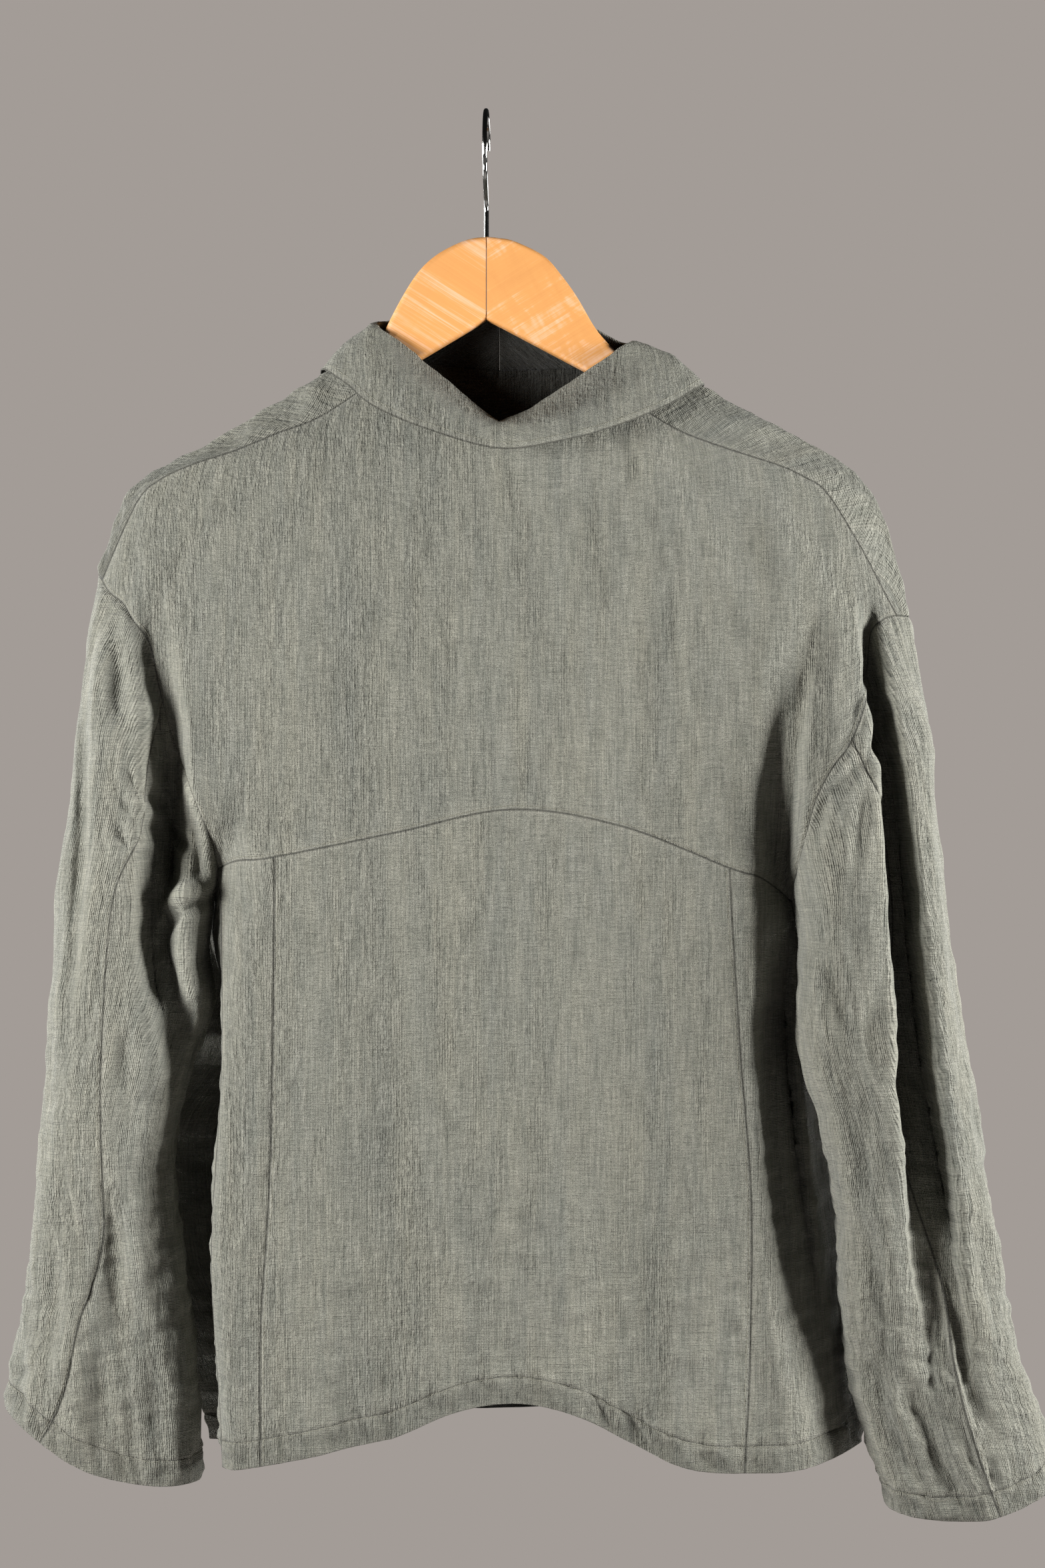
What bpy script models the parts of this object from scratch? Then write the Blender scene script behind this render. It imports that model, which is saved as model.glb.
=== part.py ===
# Boxy linen shirt with dropped shoulders, hanging on a wooden hanger.
# The back of the shirt faces -Y, the front +Y, up is +Z, the origin is the inside top of the hook.
import bpy
import bmesh
import math
import numpy as np

# Driving sizes in millimetres
WALL = 1.2              # cloth wall of the solid
SEAM_GAP = 0.3          # gap between two pieces at a seam
WOOD = 12.0             # thickness of the hanger arms
WIRE = 3.0              # hook wire
HOOK_RADIUS = 23.6      # centreline radius of the hook bend
HOOK_TURN = 2.0         # degrees that the hook plane is turned
FRONT_DEPTH = 42.0      # how far the front stands off the middle plane

# Lines down the body as rows of height, sideways place, depth
BACK_EDGE_LEFT = [(-476, -169, -8), (-494, -165.5, -17), (-512, -164, -25), (-597, -163, -35),
                  (-718, -169, -36), (-844, -162, -36)]
PANEL_SEAM_LEFT = [(-468, -130, -42), (-596, -131, -45), (-677, -133, -46), (-759, -138, -47),
                   (-844, -138, -48)]
PANEL_SEAM_RIGHT = [(-468, 150, -42), (-596, 157, -46), (-677, 163, -47), (-782, 162, -48), (-845, 159, -48)]
BACK_TURN_RIGHT = [(-480, 171, -33), (-538, 174, -38), (-596, 177, -40), (-760, 189, -43), (-844, 197, -44)]
SIDE_RIGHT = [(-497, 192, -9), (-515, 196, -3), (-530, 199, 1), (-560, 203, 7), (-585, 206, 11),
              (-642, 214, 14), (-705, 226, 15), (-789, 233, 15), (-844, 237, 10)]
FRONT_EDGE_RIGHT = [(-497, 186, 8), (-515, 186, 16), (-540, 189, 23), (-600, 196, 30), (-642, 202, 33),
                    (-705, 214, 35), (-789, 222, 36), (-844, 228, 33)]
FRONT_EDGE_LEFT = [(-476, -159, 8), (-494, -169, 15), (-510, -177, 21), (-538, -184, 27), (-599, -191, 32),
                   (-640, -203, 36), (-667, -204, 37), (-729, -201, 38), (-770, -194, 38), (-809, -187, 38),
                   (-844, -178, 36)]

# Seam across the back and the hem as rows of place round the body, height
ARCH_SEAM = [(0, -476), (0.5, -470), (1, -467), (2, -452), (3, -438), (4, -448), (5, -474), (6, -481),
             (7, -497)]
HEM_LINE = [(0, -844), (1, -841), (2, -824), (2.5, -807), (3, -801), (3.5, -808), (4, -826), (4.5, -842),
            (5, -845), (6, -843), (7, -839), (8, -838), (9, -840), (10, -830), (11, -824), (12, -830),
            (13, -842), (14, -843), (15, -844)]
FRONT_START = [(7, -497), (8, -492), (11, -486), (14, -478), (15, -476)]
ROUND = 15              # the body tube counts 15 places once round
SIDE_SEAM = 7           # place of the right side seam; the left one is at 0

# Armhole seams on the back as rows of place, depth, height from the shoulder to under the arm
ARMHOLE_LEFT = [(-244, 0, -290), (-236, -11, -302), (-226, -18, -310), (-219, -24, -321), (-209, -29, -336),
                (-204, -30, -362), (-195, -33, -397), (-183, -34, -424), (-175, -29, -446), (-170, -18, -464),
                (-169, -8, -476)]
ARMHOLE_RIGHT = [(266, 0, -317), (255, -9, -317), (246, -17, -321), (240, -24, -330), (238, -33, -350),
                 (234, -41, -372), (224, -48, -397), (213, -50, -412), (203, -47, -432), (198, -38, -454),
                 (194, -22, -478), (192, -8, -497)]

# Top line of the shoulders, the shoulder seams behind it and the line where the front starts to hang
RIDGE_LEFT = [(-85, 0, -155.5), (-103, 0, -166), (-134, 0, -185), (-171, 0, -207), (-208, 0, -225),
              (-224, 0, -237), (-233, 0, -256), (-244, 0, -290)]
RIDGE_RIGHT = [(104, 0, -159), (138, 0, -175), (160, 0, -186), (190, 0, -203), (211, 0, -213), (237, 0, -233),
               (255, 0, -270), (266, 0, -317)]
SEAM_LEFT = [(-70, -15, -171), (-104, -14, -192), (-132, -13, -202), (-158, -12, -212), (-185, -11, -220),
             (-206, -9, -229), (-221, -6, -243), (-244, 0, -290)]
SEAM_RIGHT = [(90, -16, -184), (122, -16, -202), (152, -16, -213), (187, -15, -224), (203, -14, -231),
              (218, -13, -241), (242, -11, -277), (266, 0, -317)]

# Rings of the neck, each once round from the nape by way of the left: neck seam, collar fold, roll of the leaf,
# its free edge
NECK_SEAM = [(8, -39, -209), (-22, -35, -200), (-48, -27, -186), (-70, -15, -171), (-85, 0, -155.5),
             (-74, 11, -153), (-42, 20, -154), (8, 25, -158), (58, 20, -157), (92, 11, -156), (104, 0, -159),
             (90, -16, -184), (66, -28, -193), (36, -35, -202)]
COLLAR_FOLD = [(8, -15, -198), (-26, -12, -169.5), (-50, -10.5, -149), (-65, -9.5, -138), (-68.5, 0, -133.5),
               (-63, 9.5, -130), (-38, 13, -126), (8, 15, -123), (58, 13, -128), (84, 9.5, -138),
               (91, 0, -143.5), (85, -9.5, -149), (60, -11, -166), (35, -13, -183)]
COLLAR_ROLL = [(8, -46, -202), (-26, -39, -186), (-57, -29, -170), (-77, -17, -157), (-88, 0, -145),
               (-80, 20, -150), (-50, 30, -154), (8, 34, -157), (66, 30, -156), (102, 20, -157),
               (118, 0, -154), (105, -19, -168), (78, -32, -182), (46, -40, -194)]
COLLAR_EDGE = [(8, -53, -217), (-38, -45, -203.5), (-70, -31, -188), (-88, -17, -172), (-104, 0, -161),
               (-98, 19, -175), (-62, 37, -192), (8, 43, -199), (80, 37, -194), (124, 18, -180),
               (137, 0, -170.5), (113, -28, -187), (80, -42, -202), (46, -50, -212)]
FRONT_CENTRE = 7        # the ring place at the centre front
RIDGE_AT = {"left": 4, "right": 10}     # ring places on the ridge of the shoulders
SEAM_AT = {"left": 3, "right": 11}      # ring places at the shoulder seams

# Left and right sleeve: outer edge, inner edge, depth of the back and front halves, sag of the row
SLEEVE_LEFT = [  # out x, out z, in x, in z, middle y out, middle y in, back depth, front depth, sag
    (-249, -330, -173.5, -500, -2, -8, 34, 26, 4), (-256, -400, -175, -530, -4, -8, 40, 30, 4),
    (-264, -470, -173, -560, -4, -8, 42, 32, 3), (-272, -575, -186, -600, -4, -6, 42, 34, 3),
    (-279, -655, -197, -655, -2, -4, 40, 34, 3), (-288, -740, -189, -736, 0, -2, 38, 34, 6),
    (-297, -785, -182, -800, 0, -2, 34, 32, 12), (-302, -812, -180, -858, 0, -4, 30, 30, 16)]
SLEEVE_RIGHT = [
    (275, -380, 196, -520, -6, -24, 38, 30, 2), (283, -462, 195, -548, -8, -28, 40, 32, 2),
    (296, -556, 195, -585, -8, -28, 42, 34, 2), (308, -635, 210, -636, -8, -28, 42, 34, 2),
    (321, -726, 221, -700, -6, -24, 40, 34, 4), (331, -776, 222, -760, -4, -18, 38, 34, 6),
    (346, -815, 233, -815, -2, -14, 36, 34, 12), (360, -858, 251, -873, 0, -10, 32, 32, 12)]

# Large folds: rows of place, height, depth of the fold, half width of its floor; then the softness of each side
FOLDS_BACK = {
    "arm_left": ([(-208, -290, 0, 1), (-205, -335, 8, 2), (-200, -383, 17, 4), (-201, -442, 30, 5),
                  (-205, -500, 32, 5), (-200, -550, 24, 6), (-190, -590, 10, 6), (-184, -625, 0, 4)], 14, 13),
    "arm_right": ([(239, -300, 0, 1), (238, -330, 12, 2), (243, -365, 26, 3), (249, -412, 36, 4),
                   (254, -455, 42, 5), (259, -530, 46, 7), (263, -590, 44, 9), (268, -640, 34, 11),
                   (276, -700, 16, 12), (284, -770, 4, 10)], 9, 9),
    "body_right": ([(200, -300, 0, 4), (193, -350, 5, 4), (188, -411, 14, 4), (186, -453, 20, 4),
                    (184, -480, 13, 4), (185, -510, 4, 4), (185, -550, 22, 4), (184, -570, 31, 5),
                    (187, -640, 24, 6), (194, -720, 12, 8), (202, -800, 0, 8)], 16, 9),
    "sleeve_crease": ([(-243, -310, 0, 0), (-250, -364, 5, 1), (-250, -450, 6, 1), (-255, -540, 3, 1),
                       (-259, -600, 0, 1)], 6, 5),
    "cuff_left": ([(-238, -640, 0, 3), (-234, -740, 7, 4), (-226, -830, 6, 6), (-222, -870, 5, 6)], 20, 20),
    "cuff_right": ([(262, -700, 0, 3), (268, -780, 8, 4), (282, -850, 7, 5), (288, -880, 6, 5)], 20, 20),
    "nape_left": ([(-60, -230, 0, 4), (-90, -330, 3, 6), (-96, -430, 2, 6), (-70, -640, 3, 8),
                   (-72, -840, 6, 8)], 26, 26),
    "waist_right": ([(80, -300, 0, 4), (95, -450, 3, 6), (88, -650, 4, 8), (84, -850, 6, 8)], 24, 24)}
FOLDS_FRONT = {
    "arm_left": ([(-204, -320, 0, 2), (-208, -420, 10, 3), (-214, -500, 13, 4), (-220, -590, 8, 5),
                  (-222, -670, 0, 4)], 22, 20),
    "arm_right": ([(232, -330, 0, 2), (240, -420, 9, 3), (250, -520, 13, 5), (262, -620, 9, 6),
                   (272, -720, 0, 6)], 22, 22),
    "chest_left": ([(-120, -230, 0, 4), (-112, -330, 6, 6), (-98, -520, 5, 6), (-92, -700, 7, 8),
                    (-88, -850, 9, 8)], 26, 22),
    "chest_right": ([(130, -240, 0, 4), (112, -350, 5, 6), (104, -560, 7, 8), (112, -850, 9, 8)], 22, 26),
    "belly": ([(30, -420, 0, 4), (24, -560, 4, 8), (14, -720, 6, 8), (8, -850, 7, 10)], 22, 30),
    "cuff_left": ([(-250, -640, 0, 3), (-252, -740, 8, 4), (-250, -860, 8, 5)], 12, 12),
    "cuff_right": ([(292, -680, 0, 3), (304, -780, 8, 4), (316, -880, 8, 5)], 12, 12)}

# Back seam of each sleeve as rows of share along the sleeve, share round it; the under seam is on the hidden side
BACK_SEAM_LEFT = [(0, 0.23), (0.19, 0.255), (0.36, 0.208), (0.5, 0.225), (0.675, 0.262), (0.77, 0.21),
                  (0.87, 0.19), (1, 0.15)]
BACK_SEAM_RIGHT = [(0, 0.24), (0.25, 0.195), (0.38, 0.235), (0.51, 0.266), (0.66, 0.22), (0.84, 0.22),
                   (1, 0.215)]
UNDER_SEAM = 0.56
SEAM_END = {"left": 0.03, "right": 0.05}    # share of the armhole where the shoulder seam meets it
SLIT = 0.35                                 # share of the upper front that the neck slit runs down

# Cells of the grids: down the back armhole, down the front armhole, along a shoulder, round the back of the neck,
# round half of the front of the neck, round the back panels, down the body, down the sleeves
BACK_ROWS, FRONT_ROWS, SHOULDER, NECK_BACK, NECK_FRONT = 15, 11, 7, 14, 6
SIDE_LEFT_CELLS, CENTRE_CELLS, SIDE_RIGHT_CELLS, SKIRT_ROWS, SLEEVE_ROWS = 4, 16, 8, 12, 19


def hermite(a, b, c, d, f):
    """Smooth step from b to c with slopes taken from their neighbours."""
    return ((2 * f**3 - 3 * f**2 + 1) * b + (f**3 - 2 * f**2 + f) * (c - a) / 2
            + (3 * f**2 - 2 * f**3) * c + (f**3 - f**2) * (d - b) / 2)


def spline(rows, t, closed=False):
    """Points on a smooth curve through the rows, t counting rows."""
    p = np.asarray(rows, float)
    n = len(p)
    t = np.asarray(t, float)
    if closed:
        i = np.floor(t).astype(int)
        pick = [p[(i + k) % n] for k in (-1, 0, 1, 2)]
    else:
        t = np.clip(t, 0, n - 1)
        i = np.minimum(t.astype(int), n - 2)
        pick = [p[np.clip(i + k, 0, n - 1)] for k in (-1, 0, 1, 2)]
    f = (t - i).reshape(t.shape + (1,) * (pick[1].ndim - t.ndim))
    return hermite(*pick, f)


def along(rows, s):
    """Points on the curve through the rows at share s of its length."""
    t = np.linspace(0, len(rows) - 1, 30 * len(rows))
    fine = spline(rows, t)
    run = np.concatenate([[0], np.cumsum(np.linalg.norm(np.diff(fine, axis=0), axis=1))])
    return spline(rows, np.interp(np.asarray(s, float) * run[-1], run, t))


def at_key(rows, x):
    """Smooth values at x from rows of key, value and so on."""
    p = np.asarray(sorted(rows), float)
    k = np.interp(np.asarray(x, float), p[:, 0], np.arange(len(p)))
    out = spline(p[:, 1:], k)
    return out[..., 0] if p.shape[1] == 2 else out


def soft(x):
    """Smooth step from 0 to 1."""
    x = np.clip(x, 0, 1)
    return x * x * (3 - 2 * x)


def fold_depth(p, folds):
    """Depth that the large folds press into the points p."""
    total = np.zeros(p.shape[:-1])
    for rows, left, right in folds.values():
        q = np.asarray(sorted(rows, key=lambda r: -r[1]), float)
        k = np.interp(-p[..., 2], -q[:, 1], np.arange(len(q)))
        x, _, deep, floor = np.moveaxis(spline(q, k), -1, 0)
        off = p[..., 0] - x
        edge = np.where(off < 0, left, right)
        live = soft((q[0, 1] + 12 - p[..., 2]) / 12) * soft((p[..., 2] - q[-1, 1] + 30) / 30)
        total += live * np.maximum(deep, 0) * (1 - soft((np.abs(off) - floor) / edge))
    return total


def folded(p):
    """Points with the large folds pressed in, the back ones forwards and the front ones backwards."""
    q = p.copy()
    back = soft((-3 - p[..., 1]) / 18)
    front = soft((p[..., 1] - 3) / 18)
    q[..., 1] += fold_depth(p, FOLDS_BACK) * back - fold_depth(p, FOLDS_FRONT) * front
    return q


def body(u, z):
    """Points of the body tube: u counts round it (0 left edge, 3 centre back, 7 right edge, 15 is 0 again)."""
    u, z = np.broadcast_arrays(np.asarray(u, float), np.asarray(z, float))
    left, right = at_key(PANEL_SEAM_LEFT, z), at_key(PANEL_SEAM_RIGHT, z)
    front_right, front_left = at_key(FRONT_EDGE_RIGHT, z), at_key(FRONT_EDGE_LEFT, z)
    low = soft((-470 - z) / 330)
    keys = [at_key(BACK_EDGE_LEFT, z), left]
    for share, extra in ((0.27, 3), (0.52, 4), (0.76, 3)):
        m = left + (right - left) * share
        m[..., 1] -= extra + 2 * low
        keys.append(m)
    keys += [right, at_key(BACK_TURN_RIGHT, z), at_key(SIDE_RIGHT, z), front_right, front_right + (-17, 9)]
    for share, deep in ((0.27, 1.0), (0.5, 1.06), (0.73, 1.02)):
        m = front_right + (front_left - front_right) * share
        m[..., 1] = FRONT_DEPTH * deep + 4 * low
        keys.append(m)
    keys += [front_left + (18, 5), front_left]
    p = np.stack(keys)
    i = np.floor(u).astype(int)
    pick = [np.take_along_axis(p, ((i + k) % ROUND)[None, ..., None], 0)[0] for k in (-1, 0, 1, 2)]
    out = hermite(*pick, (u - i)[..., None])
    x, sharp = out[..., 0], soft((z + 570) / 70)
    sides = ((SIDE_SEAM, SIDE_SEAM, SIDE_SEAM + 1, np.minimum), (ROUND - 1, 0, ROUND - 1, np.maximum))
    for first, last, far, most in sides:
        edge, share = p[last, ..., 0], np.abs(u - (first if first == last else ROUND))
        straight = edge * (1 - share) + p[far, ..., 0] * share
        x = np.where((u > first) & (u < first + 1), straight * sharp + most(x, edge) * (1 - sharp), x)
    return np.stack([x, out[..., 1], z], -1)


def body_panel(u0, u1, top, bottom, nu, nv):
    """Grid of the body tube between two places round it and two lines across it."""
    u, v = np.meshgrid(np.linspace(u0, u1, nu), np.linspace(0, 1, nv), indexing="ij")
    return body(u, at_key(top, u) * (1 - v) + at_key(bottom, u) * v)


def hung(top, bottom, left, right, s, t_left, t_right, load):
    """Grid that hangs between four border curves, each a function of share; s and t say where its lines end."""
    def filled(s, t_left, t_right):
        a, b, c, d = top(s), bottom(s), left(t_left), right(t_right)
        n, m = len(s), len(t_left)
        s = s[:, None, None]
        t = t_left[None, :, None] * (1 - s) + t_right[None, :, None] * s
        return (a[:, None] * (1 - t) + b[:, None] * t + c[None] * (1 - s) + d[None] * s
                - (1 - s) * (1 - t) * a[0] - s * (1 - t) * a[-1] - (1 - s) * t * b[0] - s * t * b[-1])
    rough = filled(np.linspace(0, 1, 25), np.linspace(0, 1, 17), np.linspace(0, 1, 17))
    y = rough[..., 1].copy()
    for _ in range(700):
        y[1:-1, 1:-1] = (y[2:, 1:-1] + y[:-2, 1:-1] + y[1:-1, 2:] + y[1:-1, :-2]) / 4 + load
    slack = spline(y - rough[..., 1], s * 24)
    t = t_left[None] * (1 - s[:, None]) + t_right[None] * s[:, None]
    slack = np.stack([spline(row, place * 16) for row, place in zip(slack, t)])
    p = filled(s, t_left, t_right)
    p[..., 1] += slack
    return p


def armhole_front(back):
    """Front half of an armhole seam, from the shoulder to under the arm."""
    s = np.linspace(0, 1, 13)
    p = along(back, s)
    p[:, 0] -= np.sign(p[0, 0]) * 9 * np.sin(math.pi * s)
    p[:, 1] = p[0, 1] * (1 - s) + p[-1, 1] * s + 36 * np.sin(math.pi * s) ** 0.7
    return p


def sleeve(rows, hole, turn, v):
    """Points of a sleeve: turn 0 outer edge, 0.5 inner edge by way of the back; v from armhole to cuff."""
    turn, v = np.broadcast_arrays(np.asarray(turn, float) % 1.0, np.asarray(v, float))
    back = turn <= 0.5
    s = np.where(back, turn * 2, 2 - turn * 2)
    share = (1 - np.cos(math.pi * s)) / 2
    rings = [np.where(back[..., None], along(hole, s), along(armhole_front(hole), s))]
    for out_x, out_z, in_x, in_z, out_y, in_y, deep, front, sag in rows:
        bow = np.sin(math.pi * s) ** 0.72
        y = out_y + (in_y - out_y) * share + np.where(back, -deep, front) * bow
        z = out_z + (in_z - out_z) * share - sag * np.sin(math.pi * share) * np.where(back, 1, 0.5)
        rings.append(np.stack([out_x + (in_x - out_x) * share, y, z], -1))
    p = np.stack(rings)
    k = v * (len(p) - 1)
    i = np.clip(k.astype(int), 0, len(p) - 2)
    pick = [np.take_along_axis(p, np.clip(i + n, 0, len(p) - 1)[None, ..., None], 0)[0] for n in (-1, 0, 1, 2)]
    return hermite(*pick, (k - i)[..., None])


def armhole_stops(side, cells, half):
    """Shares of one half of an armhole where the lines of the body meet it."""
    first = SEAM_END[side] * (1 if half == "back" else 1.2)
    return np.linspace(first, 1, cells + 1)


def sleeve_turns(side, piece, v):
    """Places round a sleeve of the lines of one of its pieces; at the armhole they meet the lines of the body."""
    left, under = side == "left", piece == "under"
    end = SEAM_END[side]
    back, front = armhole_stops(side, BACK_ROWS, "back") / 2, 1 - armhole_stops(side, FRONT_ROWS, "front") / 2
    seam = at_key(BACK_SEAM_LEFT if left else BACK_SEAM_RIGHT, v)
    cut = int(np.abs(back - seam[0]).argmin())
    low = int(np.abs(front - UNDER_SEAM).argmin())
    if under:
        ring = np.concatenate([back[cut:], front[low:-1][::-1]])
        start, stop = seam, np.full(len(v), UNDER_SEAM)
    else:
        ring = np.concatenate([front[:low + 1][::-1], [1 - 0.3 * end, 1, 1 + end / 4], 1 + back[:cut + 1]])
        start, stop = np.full(len(v), UNDER_SEAM), 1 + seam
    n = len(ring)
    c = np.linspace(0, 1, n)
    turn = start + (stop - start) * c[:, None]
    if left == under:
        centre = valley_turns(side, v) + (0 if under else 1)
        middle = n // 2 - 2 if under else n - 5
        knots = np.array([0, middle - 1, middle, middle + 1, middle + 2, n - 1]) / (n - 1)
        spread = np.array([-1.9, -0.7, 0.7, 1.9])[:, None] * 0.028
        inner = np.clip(centre + spread, start + 0.01, stop - 0.012 + np.arange(4)[:, None] * 0.003)
        stops = np.concatenate([start[None], np.sort(inner, axis=0), stop[None]])
        bent = np.stack([np.interp(c, knots, stops[:, j]) for j in range(len(v))], 1)
        live = soft((0.62 - v) / 0.2)
        turn = turn * (1 - live) + bent * live
    near = soft(1 - v / 0.14)
    return ring[:, None] * near + turn * (1 - near)


def valley_turns(side, v):
    """Place round a sleeve where its deep fold runs, for each share along it."""
    rows, hole = (SLEEVE_LEFT, ARMHOLE_LEFT) if side == "left" else (SLEEVE_RIGHT, ARMHOLE_RIGHT)
    turns = np.linspace(0.03, 0.47, 90)
    p = sleeve(rows, hole, turns[:, None], v[None])
    fold = np.asarray(sorted(FOLDS_BACK[f"arm_{side}"][0], key=lambda r: r[1]), float)
    x = np.interp(p[..., 2], fold[:, 1], fold[:, 0])
    return turns[np.abs(p[..., 0] - x).argmin(axis=0)]


def sleeve_panel(side, piece):
    """Grid of the upper or under piece of one sleeve."""
    rows, hole = (SLEEVE_LEFT, ARMHOLE_LEFT) if side == "left" else (SLEEVE_RIGHT, ARMHOLE_RIGHT)
    v = np.linspace(0, 1, SLEEVE_ROWS + 1)
    return sleeve(rows, hole, sleeve_turns(side, piece, v), v[None])


def pinned(p, start, end):
    """Curve moved so that its two ends lie on the given points."""
    s = np.linspace(0, 1, len(p))[:, None]
    return p + (start - p[0]) * (1 - s) + (end - p[-1]) * s


def shoulder_rows(side, n):
    """Lines along one shoulder, neck to armhole: seam, back of ridge, ridge, front of it, start of the front."""
    left = side == "left"
    tables = (ARMHOLE_LEFT, RIDGE_LEFT, SEAM_LEFT), (ARMHOLE_RIGHT, RIDGE_RIGHT, SEAM_RIGHT)
    hole, ridge, seam = tables[0 if left else 1]
    s, end = np.linspace(0, 1, n), SEAM_END[side]
    top, front = along(ridge, s), armhole_front(hole)
    stops = [along(hole, end), along(hole, end / 2), along(hole, 0)]
    stops += [along(front, end * 0.6), along(front, end * 1.2)]
    lines = [along(seam, s), top + (0, -10, -3.5), top, top + (0, 10, -3.5), top + (0, 12.5, -15)]
    places = np.array([SEAM_AT[side], (SEAM_AT[side] + RIDGE_AT[side]) / 2, RIDGE_AT[side], 0, 0], float)
    places[3:] = RIDGE_AT[side] + np.array([0.25, 0.5]) if left else RIDGE_AT[side] - np.array([0.25, 0.5])
    return [pinned(line, spline(NECK_SEAM, places[i], True), stops[i]) for i, line in enumerate(lines)]


def border(p):
    """Function that runs along the points p, share by share in equal counts."""
    return lambda s: spline_line(p, np.asarray(s) * (len(p) - 1))


def spline_line(p, t):
    """Straight runs between the points p at t counting points."""
    return np.stack([np.interp(t, np.arange(len(p)), p[:, k]) for k in range(3)], -1)


def upper_back():
    """Grid of the back above the arched seam; its lines meet those of the neck, shoulders, armholes and panels."""
    left, right = shoulder_rows("left", SHOULDER + 1)[0][::-1], shoulder_rows("right", SHOULDER + 1)[0]
    neck = spline(NECK_SEAM, np.linspace(14 + SEAM_AT["left"], SEAM_AT["right"], NECK_BACK + 1) % 14, True)
    top = np.concatenate([left, neck[1:-1], right])
    u = np.concatenate([np.linspace(0, 1, SIDE_LEFT_CELLS + 1), np.linspace(1, 5, CENTRE_CELLS + 1)[1:],
                        np.linspace(5, SIDE_SEAM, SIDE_RIGHT_CELLS + 1)[1:]])
    s = np.linspace(0, 1, len(top))
    t = np.linspace(0, 1, BACK_ROWS + 1)
    return hung(border(top), lambda s: body(np.interp(s, np.linspace(0, 1, len(u)), u),
                                            at_key(ARCH_SEAM, np.interp(s, np.linspace(0, 1, len(u)), u))),
                lambda t: along(ARMHOLE_LEFT, SEAM_END["left"] + (1 - SEAM_END["left"]) * t),
                lambda t: along(ARMHOLE_RIGHT, SEAM_END["right"] + (1 - SEAM_END["right"]) * t), s, t, t, -0.02)


def around(s):
    """Place round the body of share s across the front, left side seam to right side seam."""
    return ROUND - (ROUND - SIDE_SEAM) * np.asarray(s)


def neck_front_places():
    """Ring places of the front half of the neck seam, left shoulder to right shoulder, parted at the centre."""
    gap = 0.009
    left = np.linspace(RIDGE_AT["left"] + 0.5, FRONT_CENTRE - gap, NECK_FRONT + 1)
    return np.concatenate([left, np.linspace(FRONT_CENTRE + gap, RIDGE_AT["right"] - 0.5, NECK_FRONT + 1)])


def front_grid():
    """Grid of the front: columns over left shoulder, neck, right shoulder; rows over the shoulder, chest, body."""
    left, right = shoulder_rows("left", SHOULDER + 1), shoulder_rows("right", SHOULDER + 1)
    neck = spline(NECK_SEAM, neck_front_places(), True)
    top = np.concatenate([left[4][::-1], neck[1:-1], right[4]])
    nu = len(top)
    share = np.concatenate([[0], np.cumsum(np.linalg.norm(np.diff(top, axis=0), axis=1))])
    share /= share[-1]
    holes = {side: armhole_front(hole) for side, hole in (("left", ARMHOLE_LEFT), ("right", ARMHOLE_RIGHT))}
    def down(side):
        first = SEAM_END[side] * 1.2
        return lambda t: along(holes[side], first + (1 - first) * t)
    t = np.linspace(0, 1, FRONT_ROWS + 1)
    chest = hung(lambda s: np.stack([np.interp(s, share, top[:, k]) for k in range(3)], -1),
                 lambda s: body(around(s), at_key(FRONT_START, around(s))),
                 down("left"), down("right"), share, t, t, 0.05)
    u = around(share)
    v = np.linspace(0, 1, SKIRT_ROWS + 1)[None, 1:]
    start = at_key(FRONT_START, u)[:, None]
    skirt = body(np.repeat(u[:, None], SKIRT_ROWS, 1), start * (1 - v) + at_key(HEM_LINE, u)[:, None] * v)
    rows = [np.concatenate([left[i][::-1], neck[1:-1], right[i]]) for i in range(4)]
    p = np.concatenate([np.stack(rows, 1), chest, skirt], 1)
    keep = np.ones((nu - 1, p.shape[1] - 1), bool)
    keep[SHOULDER:nu - 1 - SHOULDER, :4] = False
    keep[SHOULDER + NECK_FRONT, :4 + int(round(FRONT_ROWS * SLIT))] = False
    return eased(p, 4 + FRONT_ROWS), keep


def eased(p, row, reach=75.0):
    """Grid with the turn across one row made smooth, its border left where it is."""
    q = p.copy()
    run = np.cumsum(np.linalg.norm(np.diff(p, axis=1), axis=2), axis=1)
    run = np.concatenate([np.zeros((len(p), 1)), run], 1)
    weight = np.clip(1 - np.abs(run - run[:, row:row + 1]) / reach, 0, 1)
    side = np.minimum(run[:1] * 0 + np.linspace(0, 1, len(p))[:, None], 1 - np.linspace(0, 1, len(p))[:, None])
    weight = weight * soft(side / 0.12)
    step = np.median(np.diff(run[:, row - 2:row + 3], axis=1))
    for _ in range(int(1.2 * (reach / step) ** 2)):
        bend = (q[:, :-2, 1] + q[:, 2:, 1]) / 2 - q[:, 1:-1, 1]
        q[:, 1:-1, 1] += 0.5 * weight[:, 1:-1] * bend
    return q


def collar_places():
    """Ring places of the collar lines, centre front to centre front by way of the right shoulder and the nape."""
    front = neck_front_places()
    right = [RIDGE_AT["right"] - 0.25, RIDGE_AT["right"], (RIDGE_AT["right"] + SEAM_AT["right"]) / 2]
    left = [14 + (RIDGE_AT["left"] + SEAM_AT["left"]) / 2, 14 + RIDGE_AT["left"], 14 + RIDGE_AT["left"] + 0.25]
    back = np.linspace(SEAM_AT["right"], 14 + SEAM_AT["left"], NECK_BACK + 1)
    return np.concatenate([front[NECK_FRONT + 1:], right, back, left, 14 + front[:NECK_FRONT + 1]])


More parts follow.
